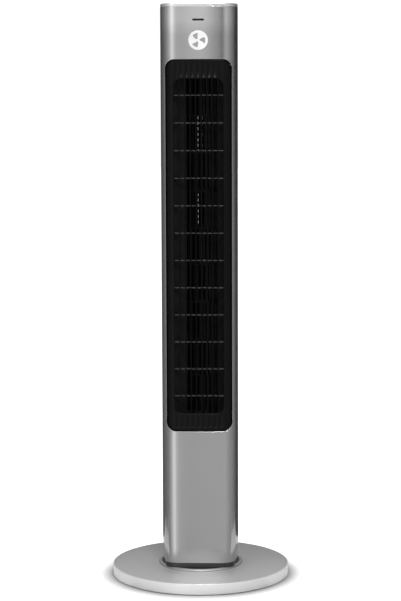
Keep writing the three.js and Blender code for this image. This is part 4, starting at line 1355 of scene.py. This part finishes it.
def makeBadge():
    # a plain white disc with a small three-bladed fan cut through it
    low, high = nodeBox("badge")
    middle = (low.z + high.z) / 2
    builder = bmesh.new()
    addSign(builder, [(badge["radius"] * math.cos(t), badge["radius"] * math.sin(t))
                      for t in spread(0, 2 * math.pi, 64)[:-1]], middle, (-0.7, -0.32))
    piece = newPiece("fanSign", builder, finishes["white"], "tower", ["badge"], 60)
    reach, root = badge["bladeReach"], badge["bladeRoot"]
    for turn in (90, 210, 330):
        start, lead = math.radians(turn), math.radians(turn + 52)
        outline = [(reach * math.cos(t), reach * math.sin(t)) for t in spread(start, lead, 10)]
        outline += quadratic((reach, lead), (0.6 * reach, lead + 0.3), (root, lead))[1:]
        outline += quadratic((root, start + 0.2), (0.55 * reach, start + 0.3), (reach, start))[:-1]
        cutter = bmesh.new()
        addSign(cutter, outline, middle, (-3, 3))
        carve(piece, cutter)


def quadratic(a, b, c, steps=10):
    a, b, c = [Vector((r * math.cos(t), r * math.sin(t))) for r, t in (a, b, c)]
    return [tuple(a * (1 - t) ** 2 + b * 2 * t * (1 - t) + c * t * t) for t in spread(0, 1, steps)]


def addSign(builder, outline, middle, insets):
    addRings(builder, [[(x, frontY(x, inset), middle + z) for x, z in outline] for inset in insets])


makeTopCap()
makeControlPanel()
makeButtons()
makeSignalWindow()
makeBadge()
print("top fitted")


# ---------- inner parts kept from the frame ----------
keptFinishes = {
    "zinc": ["motor_plate", "pivot_tube", "retaining_clip", "oscillation_bracket", "oscillation_motor",
             "motor_housing", "motor_cover"],
    "bolt": ["top_bearing", "top_stub", "motor_shaft", "rotor_core"],
    "deepBlack": ["bearing_plate"],
    "rubber": ["bearing_holder", "motor_mount_1", "motor_mount_2", "motor_mount_3"],
    "nylon": ["glide_ring", "swivel_bush", "fixed_gear", "pinion"],
    "white": ["capacitor"],
    "board": ["power_board", "control_board"],
    "copper": ["stator"],
}


def dressKeptNodes():
    for finish, names in keptFinishes.items():
        for name in names:
            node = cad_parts[name]
            node.data.materials.clear()
            node.data.materials.append(finishes[finish])
            softenEdges(node, 0.25, 2)


dressKeptNodes()
print("inner parts dressed")


# ---------- stage, light and camera ----------
studio = {
    "floorShade": 0.93,
    "footShade": 0.62,
    "floorGlow": 1.0,
    "shadowReach": (0.163, 0.205),  # metres from the axis, where the floor comes back to full light
    "seen": 1.05,
    "pool": ((0.0, -0.62, 1.7), (0.002, -0.118, 0.02), 4.4, 50),
    "backCard": {"half": 0.42, "front": -0.1, "back": 0.26, "fade": (0.17, 0.4), "glow": 0.16},
    # how bright the room is round the fan, by bearing in degrees: 0 is towards the camera, 90 to the right
    "upperRoom": ((-180, 0.04), (-150, 0.06), (-110, 0.13), (-78, 0.28), (-58, 0.5), (-42, 0.84), (-28, 1.2),
                  (-18, 1.0), (-10, 0.4), (-5, 0.68), (0, 0.76), (3, 0.66), (7, 0.16), (13, 0.1), (19, 0.3),
                  (28, 0.46), (42, 0.54), (60, 0.4), (90, 0.22), (125, 0.07), (150, 0.01), (180, 0.01)),
    "lowerRoom": ((-180, 0.07), (-150, 0.09), (-110, 0.15), (-78, 0.22), (-56, 0.42), (-38, 0.84), (-21, 1.25),
                  (-13, 0.62), (-8, 0.44), (-3, 0.5), (3, 0.52), (9, 0.52), (18, 0.56), (35, 0.48), (55, 0.38),
                  (90, 0.27), (125, 0.16), (150, 0.05), (180, 0.03)),
    "blendHeight": (-0.14, -0.02),
    "backdrop": 0.95,
    "backdropHeight": (0.22, 0.45),
    "panels": {
        # name: place, aim, width, height, power
        "overhead": ((-0.2, -0.5, 3.0), (0, 0, 0.3), 2.2, 2.2, 18),
        "frontFill": ((0.5, -2.6, 2.9), (0, 0, 0.5), 0.7, 0.5, 40),
    },
}


def flatSheet(name, corners, height):
    builder = bmesh.new()
    builder.faces.new([builder.verts.new((x, y, 0)) for x, y in corners])
    mesh = bpy.data.meshes.new(name)
    builder.to_mesh(mesh)
    builder.free()
    sheet = bpy.data.objects.new(name, mesh)
    sheet.location.z = height
    bpy.context.scene.collection.objects.link(sheet)
    return sheet


def nearness(tree, place):
    # 1 at the swing axis, falling evenly to 0 a metre away
    ring = tree.nodes.new("ShaderNodeTexGradient")
    ring.gradient_type = "SPHERICAL"
    tree.links.new(place, ring.inputs["Vector"])
    return ring.outputs["Fac"]


def makeFloor():
    size = 14
    floor = flatSheet("floor", ((-size, -size), (size, -size), (size, size), (-size, size)), -0.0004)
    floor.visible_glossy = False
    finish, tree, shader = newFinish("paleFloor", 0.0, 0.7, 0.2)
    place = objectPlace(tree)
    # painted shadow: near the fan's foot the floor's colour is darkened by footShade and its glow fades out,
    # standing in for the contact shadow; further out the floor glows evenly white
    near, far = studio["shadowReach"]
    ring = nearness(tree, place)
    shade = studio["floorShade"]
    pale = shades(tree, noise(tree, place, 3, 3), grey(shade - 0.01), grey(shade))
    shaded = shades(tree, ring, grey(1.0), grey(studio["footShade"]), 1 - far, 1 - near)
    tree.links.new(blended(tree, 1.0, pale, shaded, "MULTIPLY"), shader.inputs["Base Color"])
    glow = between(tree, ring, 0, studio["floorGlow"], 1 - near, 1 - far)
    tree.links.new(glow, shader.inputs["Emission Strength"])
    shader.inputs["Emission Color"].default_value = (1, 1, 1, 1)
    floor.data.materials.append(finish)


def makeBackCard():
    # a white card on the floor behind the fan, seen only as a glow low on the sides of the column
    card = studio["backCard"]
    half, front, back = card["half"], card["front"], card["back"]
    sheet = flatSheet("backCard", ((-half, front), (half, front), (half, back), (-half, back)), -0.0002)
    for sight in ("visible_camera", "visible_diffuse", "visible_shadow", "visible_transmission"):
        setattr(sheet, sight, False)
    finish, tree, shader = newFinish("cardWhite", 0.0, 0.8, 0.1)
    place = objectPlace(tree)
    pale = shades(tree, noise(tree, place, 4, 2), grey(0.86), grey(0.9))
    tree.links.new(pale, shader.inputs["Base Color"])
    shader.inputs["Emission Color"].default_value = (1, 1, 1, 1)
    near, far = card["fade"]
    glow = between(tree, nearness(tree, place), 0, card["glow"], 1 - far, 1 - near)
    tree.links.new(glow, shader.inputs["Emission Strength"])
    sheet.data.materials.append(finish)


def roomRamp(tree, bearing, stops):
    ramp = tree.nodes.new("ShaderNodeValToRGB")
    while len(ramp.color_ramp.elements) > 1:
        ramp.color_ramp.elements.remove(ramp.color_ramp.elements[-1])
    for n, (angle, glow) in enumerate(stops):
        position = (angle + 180) / 360
        element = ramp.color_ramp.elements[0] if n == 0 else ramp.color_ramp.elements.new(position)
        element.position = position
        element.color = (glow, glow, glow, 1)
    tree.links.new(bearing, ramp.inputs["Fac"])
    return ramp.outputs["Color"]


def combined(tree, how, first, second):
    # two values put together by one step of arithmetic; the second may be a plain number
    step = tree.nodes.new("ShaderNodeMath")
    step.operation = how
    tree.links.new(first, step.inputs[0])
    if isinstance(second, (int, float)):
        step.inputs[1].default_value = second
    else:
        tree.links.new(second, step.inputs[1])
    return step.outputs["Value"]


def makeWorld():
    world = bpy.data.worlds.new("studio")
    bpy.context.scene.world = world
    world.use_nodes = True
    tree = world.node_tree
    tree.nodes.clear()
    place = tree.nodes.new("ShaderNodeTexCoord")
    split = tree.nodes.new("ShaderNodeSeparateXYZ")
    tree.links.new(place.outputs["Generated"], split.inputs["Vector"])
    towards = combined(tree, "MULTIPLY", split.outputs["Y"], -1)
    turn = combined(tree, "ARCTAN2", split.outputs["X"], towards)
    bearing = between(tree, turn, 0, 1, -math.pi, math.pi)
    upper = roomRamp(tree, bearing, studio["upperRoom"])
    lower = roomRamp(tree, bearing, studio["lowerRoom"])
    rising = between(tree, split.outputs["Z"], 0, 1, *studio["blendHeight"])
    room = blended(tree, rising, lower, upper)
    # the pale backdrop behind the fan, above its foot
    behind = between(tree, split.outputs["Y"], 0, 1, 0.5, 0.8)
    above = between(tree, split.outputs["Z"], 0, studio["backdrop"], *studio["backdropHeight"])
    both = combined(tree, "MAXIMUM", room, combined(tree, "MULTIPLY", behind, above))
    ray = tree.nodes.new("ShaderNodeLightPath")
    choose = tree.nodes.new("ShaderNodeMix")
    choose.data_type = "FLOAT"
    tree.links.new(ray.outputs["Is Camera Ray"], choose.inputs["Factor"])
    tree.links.new(both, choose.inputs["A"])
    choose.inputs["B"].default_value = studio["seen"]
    glow = tree.nodes.new("ShaderNodeBackground")
    glow.inputs["Color"].default_value = (1, 1, 1, 1)
    tree.links.new(choose.outputs["Result"], glow.inputs["Strength"])
    out = tree.nodes.new("ShaderNodeOutputWorld")
    tree.links.new(glow.outputs["Background"], out.inputs["Surface"])


def makePool():
    # light thrown back off the column's flat front onto the cover before it
    place, aim, width, power = studio["pool"]
    light = bpy.data.lights.new("coverPool", "SPOT")
    light.spot_size = math.radians(width)
    light.spot_blend = 0.9
    light.shadow_soft_size = 0.02
    light.energy = power
    spot = bpy.data.objects.new("coverPool", light)
    spot.location = place
    spot.rotation_euler = (Vector(aim) - Vector(place)).to_track_quat("-Z", "Y").to_euler()
    bpy.context.scene.collection.objects.link(spot)


def makePanels():
    for name, (place, aim, width, height, power) in studio["panels"].items():
        light = bpy.data.lights.new(name, "AREA")
        light.shape = "RECTANGLE"
        light.size = width
        light.size_y = height
        light.energy = power
        panel = bpy.data.objects.new(name, light)
        panel.location = place
        panel.rotation_euler = (Vector(aim) - Vector(place)).to_track_quat("-Z", "Y").to_euler()
        panel.visible_camera = False
        bpy.context.scene.collection.objects.link(panel)


view = {
    "distance": 3.49, "pitch": 6.95, "azimuth": 1.4,
    "roll": -0.19, "lens": 115.85, "aim": (0.0011, 0, 0.502),
}


def makeCamera():
    data = bpy.data.cameras.new("camera")
    data.lens = view["lens"]
    data.sensor_width = 36
    data.clip_end = 100
    camera = bpy.data.objects.new("camera", data)
    pitch, azimuth = math.radians(view["pitch"]), math.radians(view["azimuth"])
    level = math.cos(pitch)
    back = Vector((math.sin(azimuth) * level, -math.cos(azimuth) * level, math.sin(pitch)))
    camera.location = Vector(view["aim"]) + back * view["distance"]
    facing = (-back).to_track_quat("-Z", "Y").to_matrix()
    camera.rotation_euler = (facing @ Matrix.Rotation(math.radians(view["roll"]), 3, "Z")).to_euler()
    bpy.context.scene.collection.objects.link(camera)
    bpy.context.scene.camera = camera


makeFloor()
makeBackCard()
makeWorld()
makePanels()
makePool()
makeCamera()
bpy.context.scene.view_settings.view_transform = "Standard"
print("studio lit")
